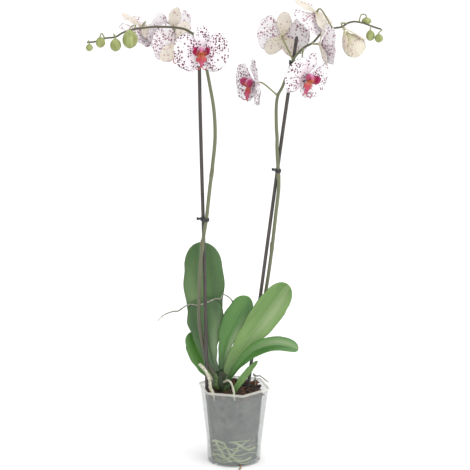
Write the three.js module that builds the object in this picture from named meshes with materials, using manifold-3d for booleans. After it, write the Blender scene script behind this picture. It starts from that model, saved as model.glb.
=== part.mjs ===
// Potted moth orchid: a plant with two staked flower spikes in a clear hexagonal-to-round pot.
// Millimetres, +Z up. The origin is the centre of the pot's base. -Y is the front.
// Plant points are [x, y, height above the pot's rim], so the plant rises with the pot.
import * as THREE from 'three';
import { mergeVertices } from 'three/addons/utils/BufferGeometryUtils.js';
import Module from 'manifold-3d';

const wasm = await Module();
wasm.setup();

// ---- Driving dimensions -------------------------------------------------------------------
const CLEARANCE = 0.35; // left between any two separate pieces

const POT_HEIGHT = 123.5;
const POT_RIM_CORNER_RADIUS = 60; // to the lip's corners
const POT_BASE_RADIUS = 42;
const POT_WALL = 1.5;
const POT_FLOOR = 2;
const LIP_WIDTH = 1.6;
const LIP_HEIGHT = 3.5;
const POT_CORNER_TURN = 14; // degrees from the front to the nearest rim corner
const HEXAGON_FULL_HEIGHT = 55; // the wall is round at the base and fully six-sided from here
const DRAIN_SLOT_WIDTH = 8;
const DRAIN_SLOT_HEIGHT = 5;
const DRAIN_HOLE_RADIUS = 3.5;
const DRAIN_HOLE_CIRCLE = 20;

const HEADSPACE = 11; // from the rim down to the growing medium
const MEDIUM_INSET = 0.8; // between the medium and the wall above the root zone
const ROOT_ZONE_HEIGHT = 46; // roots show behind the wall below this height
const POT_ROOT_RADIUS = 1.6;
const ROOT_SPACE = 6.2; // between the medium and the wall in the root zone

const STAKE_DIAMETER = 5.6;
const STAKE_BURIED = 62; // how far the stakes go down below the rim
const SPIKE_RADIUS = 2.6; // at the foot
const SPIKE_TIP_RADIUS = 1.0;
const PEDICEL_RADIUS = 1.3;
const CLIP_WALL = 1.3;
const CLIP_HEIGHT = 5;

const LEAF_THICKNESS = 2.4;
const PETAL_THICKNESS = 1.2;
const FLOWER_WIDTH = 84; // from one petal's tip to the other's
const AERIAL_ROOT_RADIUS = 1.1;
const THICK_ROOT_RADIUS = 2.3;

const CROWN_TOP = 25; // above the rim
const CROWN = {
  centre: [-20, -4, (CROWN_TOP - HEADSPACE) / 2],
  size: [12.5, 10.5, (CROWN_TOP + HEADSPACE) / 2],
};

// ---- Small helpers ------------------------------------------------------------------------
const V = (x, y, z) => new THREE.Vector3(x, y, z);
const plant = ([x, y, h]) => V(x, y, POT_HEIGHT + h);
const degrees = THREE.MathUtils.degToRad;
const smooth = (t) => THREE.MathUtils.smoothstep(t, 0, 1);

function lookUp(table, s) {
  let i = 1;
  while (i < table.length - 1 && table[i][0] < s) {
    i += 1;
  }
  const [s0, a] = table[i - 1];
  const [s1, b] = table[i];
  return a + ((b - a) * (s - s0)) / (s1 - s0);
}

// A closed skin over a row of rings that hold equally many points.
function loft(rings) {
  const count = rings[0].length;
  const points = [];
  const faces = [];
  for (const ring of rings) {
    for (const point of ring) {
      points.push(point);
    }
  }
  const centreOf = (ring) => ring.reduce((sum, p) => sum.add(p), V(0, 0, 0)).divideScalar(count);
  const first = points.push(centreOf(rings[0])) - 1;
  const last = points.push(centreOf(rings[rings.length - 1])) - 1;
  for (let i = 0; i < rings.length - 1; i += 1) {
    for (let k = 0; k < count; k += 1) {
      const a = i * count + k;
      const b = i * count + ((k + 1) % count);
      faces.push([a, b, b + count], [a, b + count, a + count]);
    }
  }
  const top = (rings.length - 1) * count;
  for (let k = 0; k < count; k += 1) {
    const next = (k + 1) % count;
    faces.push([first, next, k], [last, top + k, top + next]);
  }
  let volume = 0;
  for (const [a, b, c] of faces) {
    volume += points[a].dot(points[b].clone().cross(points[c]));
  }
  const geometry = new THREE.BufferGeometry();
  const numbers = points.flatMap((p) => p.toArray());
  geometry.setAttribute('position', new THREE.Float32BufferAttribute(numbers, 3));
  geometry.setIndex(faces.flatMap(([a, b, c]) => (volume > 0 ? [a, b, c] : [a, c, b])));
  return geometry;
}

// A round rod along a smooth curve; radius may be a number or a function of 0..1.
function rod(points, radius, sides = 8, steps = 12) {
  const curve = new THREE.CatmullRomCurve3(points, false, 'centripetal');
  const frames = curve.computeFrenetFrames(steps, false);
  const rings = [];
  for (let i = 0; i <= steps; i += 1) {
    const centre = curve.getPointAt(i / steps);
    const r = typeof radius === 'function' ? radius(i / steps) : radius;
    const ring = [];
    for (let k = 0; k < sides; k += 1) {
      const angle = (2 * Math.PI * k) / sides;
      ring.push(
        centre
          .clone()
          .addScaledVector(frames.normals[i], r * Math.cos(angle))
          .addScaledVector(frames.binormals[i], r * Math.sin(angle)),
      );
    }
    rings.push(ring);
  }
  return loft(rings);
}

// A leaf, petal or sepal: a thin lens-shaped section carried along a spine.
// outline: [share of the length, half width]. fold lifts the two sides along the face's direction.
function blade({ spine, face, outline, thickness, fold = 0, curl = 0, across = [-0.5, 0, 0.5] }) {
  const curve = new THREE.CatmullRomCurve3(spine, false, 'centripetal');
  const rings = outline.map(([s, half]) => {
    const centre = curve.getPointAt(s);
    const along = curve.getTangentAt(s);
    const side = along.clone().cross(face).normalize();
    const out = side.clone().cross(along).normalize();
    const at = (w, t) =>
      centre
        .clone()
        .addScaledVector(side, w * half)
        .addScaledVector(out, (fold * Math.abs(w) + curl * w * w) * half + t);
    const body = (w) => (thickness / 2) * (1 - 0.3 * w * w);
    const upper = across.map((w) => at(w, body(w)));
    const lower = [...across].reverse().map((w) => at(w, -body(w)));
    return [at(-1, 0), ...upper, at(1, 0), ...lower];
  });
  return loft(rings);
}

function ball(centre, size, columns = 10, rows = 6) {
  const geometry = new THREE.SphereGeometry(1, columns, rows);
  geometry.scale(...size);
  geometry.translate(centre.x, centre.y, centre.z);
  return geometry;
}

function toSolid(geometry) {
  const bare = new THREE.BufferGeometry();
  bare.setAttribute('position', geometry.getAttribute('position').clone());
  if (geometry.index) {
    bare.setIndex(geometry.index.clone());
  }
  const merged = mergeVertices(bare, 1e-4);
  const vertProperties = new Float32Array(merged.getAttribute('position').array);
  const triVerts = new Uint32Array(merged.index.array);
  return new wasm.Manifold(new wasm.Mesh({ numProp: 3, vertProperties, triVerts }));
}

function toGeometry(solid) {
  const mesh = solid.getMesh();
  const geometry = new THREE.BufferGeometry();
  geometry.setAttribute('position', new THREE.BufferAttribute(new Float32Array(mesh.vertProperties), 3));
  geometry.setIndex(new THREE.BufferAttribute(new Uint32Array(mesh.triVerts), 1));
  return geometry;
}

const joined = (geometries) => geometries.map(toSolid).reduce((a, b) => a.add(b));

const model = new THREE.Group();

function material(color, roughness, metalness = 0, opacity = 1) {
  return new THREE.MeshStandardMaterial({
    color,
    roughness,
    metalness,
    opacity,
    transparent: opacity < 1,
    side: THREE.DoubleSide,
  });
}

function piece(name, shape, look) {
  const geometry = shape.isBufferGeometry ? shape : toGeometry(shape);
  geometry.computeVertexNormals();
  const mesh = new THREE.Mesh(geometry, look);
  mesh.name = name;
  model.add(mesh);
  return mesh;
}

// ---- Pot ----------------------------------------------------------------------------------
// Azimuth runs from the front (-Y) towards the right (+X), in degrees.
function around(azimuth, radius, z) {
  const turn = degrees(azimuth);
  return V(radius * Math.sin(turn), -radius * Math.cos(turn), z);
}

const lipUnder = POT_HEIGHT - LIP_HEIGHT;
const wallLevels = [0, HEXAGON_FULL_HEIGHT / 3, (HEXAGON_FULL_HEIGHT * 2) / 3, HEXAGON_FULL_HEIGHT];

function wallAtLevel(azimuth, z) {
  const share = z / POT_HEIGHT;
  const corner = POT_RIM_CORNER_RADIUS - LIP_WIDTH / Math.cos(degrees(30));
  const size = POT_BASE_RADIUS + (corner - POT_BASE_RADIUS) * share;
  const turn = THREE.MathUtils.euclideanModulo(azimuth - POT_CORNER_TURN, 60) - 30;
  const hexagon = Math.cos(degrees(30)) / Math.cos(degrees(turn));
  const blend = smooth(z / HEXAGON_FULL_HEIGHT);
  return size * (1 + (hexagon - 1) * blend);
}

// The wall runs straight from one level to the next.
const wallRadius = (azimuth, z) =>
  lookUp([...wallLevels, POT_HEIGHT].map((level) => [level, wallAtLevel(azimuth, level)]), z);

const innerRadius = (azimuth, z) => wallRadius(azimuth, z) - POT_WALL;

const POT_SIDES = 30;
const potAngles = [];
for (let k = 0; k < POT_SIDES; k += 1) {
  potAngles.push(POT_CORNER_TURN + (360 * k) / POT_SIDES);
}
const potRing = (offset, z) => potAngles.map((a) => around(a, wallRadius(a, z) + offset, z));

const potRings = [];
potRings.push(potAngles.map((a) => around(a, 2, 0)));
for (const z of wallLevels) {
  potRings.push(potRing(0, z));
}
potRings.push(potRing(0, lipUnder));
potRings.push(potRing(LIP_WIDTH, lipUnder + 0.4));
potRings.push(potRing(LIP_WIDTH, POT_HEIGHT));
potRings.push(potRing(-POT_WALL, POT_HEIGHT));
for (const z of [...wallLevels].reverse()) {
  potRings.push(potRing(-POT_WALL, Math.max(z, POT_FLOOR)));
}
potRings.push(potAngles.map((a) => around(a, 2, POT_FLOOR)));
let pot = toSolid(loft(potRings));
for (let k = 0; k < 6; k += 1) {
  const azimuth = POT_CORNER_TURN + 60 * k;
  const slotDepth = POT_BASE_RADIUS * 0.3;
  const slot = new THREE.BoxGeometry(DRAIN_SLOT_WIDTH, slotDepth, 2 * DRAIN_SLOT_HEIGHT);
  slot.rotateZ(degrees(azimuth));
  const middle = around(azimuth, POT_BASE_RADIUS, 0);
  slot.translate(middle.x, middle.y, middle.z);
  pot = pot.subtract(toSolid(slot));
  const hole = new THREE.CylinderGeometry(DRAIN_HOLE_RADIUS, DRAIN_HOLE_RADIUS, 3 * POT_FLOOR, 10);
  hole.rotateX(degrees(90));
  const spot = around(azimuth + 30, DRAIN_HOLE_CIRCLE, POT_FLOOR / 2);
  hole.translate(spot.x, spot.y, spot.z);
  pot = pot.subtract(toSolid(hole));
}
piece('pot', pot, material(0xc9ccca, 0.35, 0, 0.45));

// ---- Stakes -------------------------------------------------------------------------------
// A stake's points are on the side towards its spike, which is mostly the front. The left foot
// leans in a little so that it stays inside the tapering pot.
const mediumTop = POT_HEIGHT - HEADSPACE;
const leftFootAzimuth = -76;
const behind = ([x, front, h]) => plant([x, front + STAKE_DIAMETER / 2, h]);
const inFront = ([x, back, h]) => plant([x, back - STAKE_DIAMETER / 2, h]);
const leftFoot = (z) => around(leftFootAzimuth, innerRadius(leftFootAzimuth, z) - STAKE_DIAMETER - 0.6, z);
const stakes = {
  stake_left: [
    leftFoot(POT_HEIGHT - STAKE_BURIED),
    leftFoot(POT_HEIGHT - STAKE_BURIED / 2),
    leftFoot(POT_HEIGHT - 6),
    inFront([-43.6, -9.2, 37]),
    behind([-46, -14.8, 183]),
    behind([-52, -14.8, 443]),
    behind([-53, -14.8, 516]),
  ],
  stake_right: [
    behind([16, 6.2, -STAKE_BURIED]),
    behind([24, 8.2, 5]),
    behind([44, 12.2, 160]),
    behind([68, 12.2, 346]),
    behind([80, 12.2, 437]),
    behind([97, 12.2, 555]),
  ],
};
const stakeRod = (points, extra = 0) => rod(points, STAKE_DIAMETER / 2 + extra, 8, 10);
const stakeLook = material(0x443f3c, 0.6);
for (const [name, points] of Object.entries(stakes)) {
  piece(name, stakeRod(points), stakeLook.clone());
}

// ---- Flowers ------------------------------------------------------------------------------
// In a flower's own frame x is its right petal, y its dorsal sepal and z its face.
// The tepals' sizes below are those of a flower whose petals reach PETAL_REACH from its axis, and
// SIZE brings them to the flower's width.
const PETAL_REACH = 41;
const SIZE = FLOWER_WIDTH / (2 * PETAL_REACH);
const HUB_BACK = -3.4 * SIZE; // where the pedicel meets the sepals
const LIP_SHARE = 1.3; // how large the lip is against the tepals
const tepals = {
  sepals: [
    { turn: 90, length: 37, width: 12, rise: -1.6, back: -1.2 },
    { turn: -53, length: 37, width: 12, rise: -1.6, back: -1.6 },
    { turn: 233, length: 37, width: 12, rise: -1.6, back: -1.6 },
  ],
  petals: [
    { turn: -2, length: PETAL_REACH, width: 28, rise: 1.6, back: 1.4 },
    { turn: 182, length: PETAL_REACH, width: 28, rise: 1.6, back: 1.4 },
  ],
};
const SEPAL_OUTLINE = [[0, 0.22], [0.25, 0.7], [0.53, 1], [0.82, 0.74], [1, 0.16]];
const PETAL_OUTLINE = [[0, 0.1], [0.16, 0.5], [0.44, 0.98], [0.72, 0.94], [0.91, 0.62], [1, 0.2]];

// A half open flower's tepals are narrow and lean far forward, and its lip isn't out yet.
const HALF_OPEN_BEND = 30;
const HALF_OPEN_NARROW = 0.6;
const HALF_OPEN_RISE = 3.4; // of its petals, clear of the folded sepals

function tepal({ turn, length, width, rise, back }, outline, bend, narrow, across) {
  const out = V(Math.cos(degrees(turn)), Math.sin(degrees(turn)), 0);
  const lift = degrees(bend);
  const at = (along, up) =>
    out
      .clone()
      .multiplyScalar(along * Math.cos(lift) - up * Math.sin(lift))
      .add(V(0, 0, along * Math.sin(lift) + up * Math.cos(lift)));
  const spine = [at(1.5, 0), at(length * 0.35, back), at(length * 0.7, back), at(length, back * 0.3)];
  const base = V(0, 0, rise);
  return blade({
    spine: spine.map((p) => p.add(base).multiplyScalar(SIZE)),
    face: V(0, 0, 1).applyAxisAngle(V(-out.y, out.x, 0).normalize(), -lift),
    outline: outline.map(([s, w]) => [s, w * width * narrow * SIZE]),
    thickness: PETAL_THICKNESS,
    curl: bend > HALF_OPEN_BEND ? 0.25 : 0.02,
    across,
  });
}

function lipShape() {
  const size = SIZE * LIP_SHARE;
  const at = (x, y, z) => V(x, y, z).multiplyScalar(size);
  const column = rod([at(0, 1.5, 3.4), at(0, 2.6, 7), at(0, 1, 11)], (t) => (2.3 + 0.6 * t) * size, 5, 2);
  const middle = blade({
    spine: [at(0, 0, 4.4), at(0, -5, 9), at(0, -11, 11), at(0, -17, 10)],
    face: V(0, 0.6, 1).normalize(),
    outline: [[0, 2.4], [0.3, 3.4], [0.55, 6.4], [0.8, 3], [1, 1.4]].map(([s, w]) => [s, w * size]),
    thickness: 2.4 * size,
    fold: -0.15,
    across: [0],
  });
  const parts = [column, middle];
  for (const hand of [-1, 1]) {
    parts.push(
      blade({
        spine: [at(hand * 0.8, -1, 5.4), at(hand * 5, -0.5, 8), at(hand * 8.5, 4, 12.5)],
        face: V(-hand, 0.3, 0.8).normalize(),
        outline: [[0, 1.8], [0.4, 3.6], [0.75, 4.4], [1, 1.8]].map(([s, w]) => [s, w * size]),
        thickness: 1.4 * size,
        across: [0],
      }),
    );
    const tendril = [at(hand * 0.5, -16, 10), at(hand * 3.5, -19.5, 11.5), at(hand * 6, -17, 14.5)];
    parts.push(rod(tendril, 0.6 * size, 4, 2));
  }
  return joined(parts);
}

// at: the flower's centre. face: where it looks. up: its dorsal sepal. bend: how far the tepals
// lean forward from flat, in degrees. root: the point of the spike that its pedicel leaves.
const flowers = {
  left: {
    a: { at: [-144, 56, 564], face: [-0.5, 0.3, -0.8], up: [-0.6, 0, 1], bend: 6, root: [-140, 1, 569] },
    b: { at: [-96, 35, 562], face: [-0.6, 0.75, 0.3], up: [0, 0, 1], bend: 6, root: [-95, 1, 571] },
    c: { at: [-85, 10, 542], face: [-0.3, 0.9, -0.2], up: [0.35, 0, 1], bend: 3, root: [-70, -5, 565] },
    d: { at: [-49, -48, 540], face: [0, -1, 0], up: [0, 0, 1], bend: 2, root: [-56, -10, 555] },
  },
  right: {
    e: { at: [33, 4, 484], face: [-1, -0.5, 0], up: [0.1, 0, 1], bend: 14, root: [67, 12, 463] },
    f: { at: [76, 38, 553], face: [0.15, 1, 0.1], up: [0.1, 0, 1], bend: 6, root: [92, 9, 519] },
    g: { at: [109, -52, 502], face: [0.6, -0.8, -0.25], up: [0.42, 0, 1], bend: 2, root: [107, 7, 538] },
    h: { at: [131, -34, 549], face: [1, 0.1, 0], up: [0.1, 0, 1], bend: 20, root: [121, 6, 546] },
    i: { at: [126, 36, 588], face: [-0.6, 0.35, -0.75], up: [-0.7, 0, 0.7], bend: 12, root: [151, 4, 568] },
    j: { at: [169, -9, 568], face: [0.5, -0.1, -0.85], up: [1, 0, 0.6], bend: 58, root: [173, 2, 576] },
  },
};

const sepalLook = material(0xe6e2dc, 0.55);
const petalLook = material(0xece6ea, 0.55);
const lipLook = material(0xa8235a, 0.5);

function flowerFrame({ at, face, up }) {
  const z = V(...face).normalize();
  const x = V(...up).cross(z).normalize();
  const y = z.clone().cross(x);
  return new THREE.Matrix4().makeBasis(x, y, z).setPosition(plant(at));
}

// The three sepals or the two petals, joined by a short hub on the flower's axis.
function tepalRing(group, bend) {
  const halfOpen = bend > HALF_OPEN_BEND;
  const petals = group === 'petals';
  const outline = petals ? PETAL_OUTLINE : SEPAL_OUTLINE;
  const lean = petals ? bend * 1.3 : bend;
  const across = petals ? [-0.4, 0.4] : [0];
  const narrow = halfOpen ? HALF_OPEN_NARROW : 1;
  const blades = tepals[group].map((shape) => tepal(shape, outline, lean, narrow, across));
  const [low, high, radius] = petals ? [0.6, halfOpen ? 3.6 : 2.4, 3] : [-3.4, -0.4, 3.2];
  const hub = new THREE.CylinderGeometry(radius * SIZE, radius * SIZE, (high - low) * SIZE, 6);
  hub.rotateX(degrees(90));
  hub.translate(0, 0, ((low + high) / 2) * SIZE);
  const shape = toGeometry(joined([...blades, hub]));
  return shape.translate(0, 0, petals && halfOpen ? HALF_OPEN_RISE * SIZE : 0);
}

for (const spray of Object.values(flowers)) {
  for (const [letter, flower] of Object.entries(spray)) {
    const frame = flowerFrame(flower);
    for (const [group, look] of [['sepals', sepalLook], ['petals', petalLook]]) {
      const ring = tepalRing(group, flower.bend).applyMatrix4(frame);
      piece(`flower_${letter}_${group}`, ring, look.clone());
    }
    if (flower.bend <= HALF_OPEN_BEND) {
      const lip = toGeometry(lipShape()).applyMatrix4(frame);
      piece(`flower_${letter}_lip`, lip, lipLook.clone());
    }
  }
}

// ---- Flower spikes ------------------------------------------------------------------------
const spikePaths = {
  left: [
    [-29, -7, 14], [-35, -6.5, 26], [-43, -6, 38], [-47, -7, 58], [-52, -10, 84], [-55, -13, 111],
    [-54.5, -16, 153], [-52, -18.5, 205], [-47, -19.5, 249], [-43, -19, 273], [-38, -17, 318],
    [-33, -16, 359], [-29, -16, 403], [-31, -16, 447], [-37, -16, 483], [-42, -16, 510], [-46, -14, 534],
    [-56, -10, 555], [-73, -4, 567], [-89, 0, 570], [-113, 2, 571], [-133, 2, 570], [-154, 0, 567],
    [-171, -2, 562], [-181, -3, 556], [-197, -4, 554], [-212, -5, 549], [-225, -6, 548],
  ],
  right: [
    [-13, 3, 14], [-7, 12, 22], [8, 22, 44], [30, 24, 80], [45, 21, 119], [52, 15, 161], [58.5, 13, 209],
    [65.5, 12, 274], [70, 10.5, 320], [69, 9.5, 345], [67, 11, 382], [67, 11, 398], [66, 11.5, 412],
    [66, 12, 452], [69, 12, 466], [74, 10, 475], [82, 7, 497], [91, 7, 519], [98, 7, 529], [107, 7, 538],
    [121, 6, 546], [135, 5, 561], [151, 4, 568], [166, 3, 571], [173, 2, 576], [184, 1, 579],
    [197, 0, 577], [206, 0, 574], [214, -1, 571], [224, -2, 568],
  ],
};
// at: the bud's centre. size: its half width, half depth and half height. stem: the points of its
// pedicel, from the spike over towards the bud's top.
const buds = {
  left: {
    1: { at: [-221, -14, 541], size: [5, 5, 5.4], stem: [[-223, -6, 548], [-222, -10, 551]] },
    2: { at: [-204, -13, 549], size: [6.8, 6.6, 8], stem: [[-199, -4, 554], [-202, -8, 562]] },
    3: { at: [-181, -14, 545], size: [8, 7.6, 9.5], stem: [[-181, -3, 556], [-184, -8, 561]] },
    4: {
      at: [-159, -15, 554],
      size: [11, 10, 13.5],
      stem: [[-154, 0, 567], [-150, -7, 574], [-155, -13, 574]],
    },
  },
  right: {
    1: { at: [203, 10, 579], size: [7, 6, 5.4], stem: [[190, 1, 578], [195, 5, 589], [201, 9, 589]] },
    2: { at: [208, -10, 559], size: [6.4, 6.4, 7.8], stem: [[208, 0, 573], [209, -6, 572]] },
    3: { at: [221, -11, 555], size: [6.2, 6, 6.4], stem: [[223, -2, 568], [226, -7, 567]] },
  },
};
const BUD_COLOUR = 0x9fae62;
const BUD_SIDES = 6;
const BUD_OUTLINE = [[-1, 0.18], [-0.78, 0.62], [-0.3, 0.97], [0.3, 0.95], [0.75, 0.6], [1, 0.2]];

function bud({ at, size }) {
  const centre = plant(at);
  const rings = [];
  for (const [height, width] of BUD_OUTLINE) {
    const ring = [];
    for (let k = 0; k < BUD_SIDES; k += 1) {
      const angle = (2 * Math.PI * k) / BUD_SIDES;
      const out = width * (1 + 0.06 * Math.cos(3 * angle));
      const point = V(Math.cos(angle) * size[0] * out, Math.sin(angle) * size[1] * out, height * size[2]);
      ring.push(point.add(centre));
    }
    rings.push(ring);
  }
  return loft(rings);
}

const STEM_STEPS = 36;

function stemRod(path, extra = 0) {
  const taper = (t) => (SPIKE_TIP_RADIUS - SPIKE_RADIUS) * smooth(Math.max(0, t - 0.35) / 0.65);
  return rod(path.map(plant), (t) => SPIKE_RADIUS + extra + taper(t), 6, STEM_STEPS);
}

// The nearest point of a spike, where a pedicel leaves it.
function onStem(path, point) {
  const curve = new THREE.CatmullRomCurve3(path.map(plant), false, 'centripetal');
  const stations = curve.getSpacedPoints(STEM_STEPS);
  let best = stations[0];
  for (let i = 0; i < STEM_STEPS; i += 1) {
    const step = new THREE.Line3(stations[i], stations[i + 1]);
    const near = step.closestPointToPoint(point, true, V(0, 0, 0));
    if (near.distanceTo(point) < best.distanceTo(point)) {
      best = near;
    }
  }
  return best;
}

const spikeLook = { left: material(0x6b6f4a, 0.55), right: material(0x6b6f4a, 0.55) };
for (const [hand, path] of Object.entries(spikePaths)) {
  const parts = [stemRod(path)];
  for (const flower of Object.values(flowers[hand])) {
    const frame = flowerFrame(flower);
    const end = V(0, 0, HUB_BACK - CLEARANCE).applyMatrix4(frame);
    const before = V(0, 0, HUB_BACK - CLEARANCE - 7).applyMatrix4(frame);
    parts.push(rod([onStem(path, plant(flower.root)), before, end], PEDICEL_RADIUS, 5, 4));
  }
  for (const { at, size, stem } of Object.values(buds[hand])) {
    const top = plant(at).add(V(0, 0, size[2] + CLEARANCE));
    const over = top.clone().add(V(0, 0, 1.6));
    const [foot, ...bow] = stem.map(plant);
    parts.push(rod([onStem(path, foot), ...bow, over, top], PEDICEL_RADIUS * 0.8, 5, 5));
  }
  piece(`spike_${hand}`, joined(parts), spikeLook[hand]);
  for (const [number, shape] of Object.entries(buds[hand])) {
    piece(`bud_${hand}_${number}`, bud(shape), material(BUD_COLOUR, 0.5));
  }
}

// ---- Clips --------------------------------------------------------------------------------
// A clip is a flat figure of eight round the stake and the spike, with two finger wings.
const clips = {
  clip_left: { height: 273, stake: 'stake_left', spike: 'left' },
  clip_right_low: { height: 346, stake: 'stake_right', spike: 'right' },
  clip_right_high: { height: 515, stake: 'stake_right', spike: 'right' },
};

function pointAtHeight(points, height) {
  const curve = new THREE.CatmullRomCurve3(points, false, 'centripetal');
  let low = 0;
  let high = 1;
  for (let i = 0; i < 40; i += 1) {
    const middle = (low + high) / 2;
    if (curve.getPointAt(middle).z < height) {
      low = middle;
    } else {
      high = middle;
    }
  }
  return curve.getPointAt(low);
}

for (const [name, { height, stake, spike }] of Object.entries(clips)) {
  const z = POT_HEIGHT + height;
  const a = pointAtHeight(stakes[stake], z);
  const climb = spikePaths[spike].map(plant);
  const b = pointAtHeight(climb, z);
  const stakeHole = STAKE_DIAMETER / 2 + CLEARANCE + 0.5;
  const stemHole = SPIKE_RADIUS + CLEARANCE + 0.7;
  const bodies = [];
  const cuts = [];
  for (const [centre, hole] of [[a, stakeHole], [b, stemHole]]) {
    const outer = new THREE.CylinderGeometry(hole + CLIP_WALL, hole + CLIP_WALL, CLIP_HEIGHT, 10);
    outer.rotateX(degrees(90));
    outer.translate(centre.x, centre.y, z);
    bodies.push(outer);
    const inner = new THREE.CylinderGeometry(hole, hole, CLIP_HEIGHT * 2, 10);
    inner.rotateX(degrees(90));
    inner.translate(centre.x, centre.y, z);
    cuts.push(inner);
  }
  const away = a.clone().sub(b).setZ(0).normalize();
  for (const turn of [-35, 35]) {
    const wing = new THREE.BoxGeometry(7, 1.4, CLIP_HEIGHT * 0.8);
    const direction = away.clone().applyAxisAngle(V(0, 0, 1), degrees(turn));
    wing.rotateZ(Math.atan2(direction.y, direction.x));
    const place = V(a.x, a.y, z).addScaledVector(direction, stakeHole + CLIP_WALL + 2.4);
    wing.translate(place.x, place.y, place.z);
    bodies.push(wing);
  }
  const shape = joined(bodies).subtract(joined(cuts));
  piece(name, shape, material(0x15161a, 0.4));
}

// ---- Leaves -------------------------------------------------------------------------------
const FRONT = V(0, -1, 0);
const leaves = {
  leaf_left_tall: {
    spine: [[-26, 5, 19], [-33, 11, 32], [-42, 20, 66], [-47, 26, 133], [-49, 29, 189], [-55, 28, 227]],
    face: V(0.05, -1, 0.12),
    outline: [
      [0, 6], [0.08, 7], [0.2, 12], [0.36, 21], [0.52, 28.5], [0.68, 33], [0.82, 30], [0.92, 21], [0.98, 11],
      [1, 4],
    ],
    fold: 0.1,
  },
  leaf_left_inner: {
    spine: [[-27, -1, 20], [-34, 3, 34], [-42, 12, 66], [-45, 18, 100], [-46, 22, 137]],
    face: V(0.05, -1, 0.1),
    outline: [[0, 5.5], [0.12, 7.5], [0.32, 13.5], [0.5, 22], [0.7, 30], [0.85, 28], [0.95, 18], [1, 6]],
    fold: 0.08,
  },
  leaf_left_low: {
    spine: [[-29, 4, 4], [-38, 14, 14], [-51, 24, 36], [-62, 28, 58], [-69, 28, 80]],
    face: V(0.25, -1, 0.25),
    outline: [[0, 5.5], [0.15, 8.5], [0.35, 14.5], [0.55, 18], [0.75, 17], [0.9, 11.5], [1, 3.5]],
    fold: 0.12,
  },
  leaf_right_middle: {
    spine: [[-18, 3, 22], [-18, 6, 40], [-10, 7, 78], [9, 5, 119], [23, 1, 145]],
    face: V(-0.1, -1, 0.25),
    outline: [
      [0, 5.5], [0.15, 7], [0.32, 10.5], [0.5, 17], [0.68, 20.5], [0.84, 18], [0.94, 11.5], [1, 3.5],
    ],
    fold: 0.14,
  },
  leaf_right_large: {
    spine: [[-11, -6, 15], [-7, -7, 34], [14, -8, 68], [45, -10, 111], [69, -10, 145], [84, -8, 168]],
    face: V(-0.1, -1, 0.35),
    outline: [
      [0, 6], [0.1, 8], [0.25, 12.5], [0.42, 18], [0.6, 23], [0.76, 24], [0.88, 20], [0.96, 12], [1, 4],
    ],
    fold: 0.14,
  },
  leaf_right_level: {
    spine: [
      [-9, -11, 6], [-4, -19, 20], [10, -29, 44], [34, -36, 67], [64, -42, 78], [88, -46, 76], [100, -48, 71],
    ],
    face: V(-0.15, -0.62, 1),
    outline: [[0, 5], [0.1, 6.5], [0.25, 9], [0.42, 13], [0.6, 16], [0.78, 15.5], [0.92, 10.5], [1, 3.5]],
    fold: 0.2,
  },
  leaf_right_young: {
    spine: [[-1, -23, -8], [4, -27, 4], [19, -31, 27], [37, -35, 50]],
    face: V(-0.2, -1, 0.4),
    outline: [[0, 3], [0.2, 4.4], [0.45, 5.6], [0.7, 5.2], [0.9, 3.2], [1, 1.2]],
    fold: 0.3,
  },
};
const leafColours = {
  leaf_left_tall: 0x466b35,
  leaf_left_inner: 0x4a6a38,
  leaf_left_low: 0x5b8a3c,
  leaf_right_middle: 0x4a7a33,
  leaf_right_large: 0x759253,
  leaf_right_level: 0x4f8037,
  leaf_right_young: 0x6d9350,
};

const leafShape = ({ spine, face, outline, fold }, extra = 0) =>
  blade({
    spine: spine.map(plant),
    face: face.clone().normalize(),
    outline: outline.map(([s, w]) => [s, w + extra]),
    thickness: LEAF_THICKNESS + 2 * extra,
    fold,
  });

for (const [name, shape] of Object.entries(leaves)) {
  piece(name, leafShape(shape), material(leafColours[name], 0.45));
}

// ---- Roots --------------------------------------------------------------------------------
const aerialRoots = {
  root_aerial_long: {
    path: [
      [-14, 5, 18], [-9, 14, 46], [-2, 14, 86], [3, 13, 112], [-1, 13, 131], [-6, 14, 139], [-14, 15, 144],
      [-18, 15, 145], [-21, 15, 138], [-29, 15, 138], [-41, 14, 133], [-56, 14, 128], [-71, 14, 129],
      [-81, 12, 124], [-89, 10, 119], [-95, 9, 119], [-111, 5, 114], [-121, 2, 105],
    ],
    radius: AERIAL_ROOT_RADIUS,
    steps: 30,
  },
  root_aerial_thick: {
    path: [
      [-28, -8, 6], [-40, -4, 19], [-50, -4, 30], [-54, -15, 38], [-48, -25, 36], [-42, -29, 27],
      [-38, -32, 16], [-37, -34, 6], [-33, -36, -3], [-31, -36, -14],
    ],
    radius: THICK_ROOT_RADIUS,
    steps: 16,
  },
  root_front: {
    path: [[-16, -12, 8], [-10, -24, 15], [-5, -33, 14], [-2, -39, 8], [0, -43, 0], [1, -44, -14]],
    radius: 1.5,
    steps: 9,
  },
  root_curled: {
    path: [
      [34, 24, -14], [34, 14, 8], [31, 5, 17], [36, 0, 15], [41, 1, 15], [45, 2, 12], [51, 4, 6.5],
      [56, 6, 2.6],
    ],
    radius: 1.0,
    steps: 12,
  },
};
const rootShape = ({ path, radius, steps }, extra = 0) => rod(path.map(plant), radius + extra, 5, steps);
const rootLook = material(0xb9b9a4, 0.8);
for (const [name, shape] of Object.entries(aerialRoots)) {
  piece(name, rootShape(shape), rootLook.clone());
}

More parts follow.
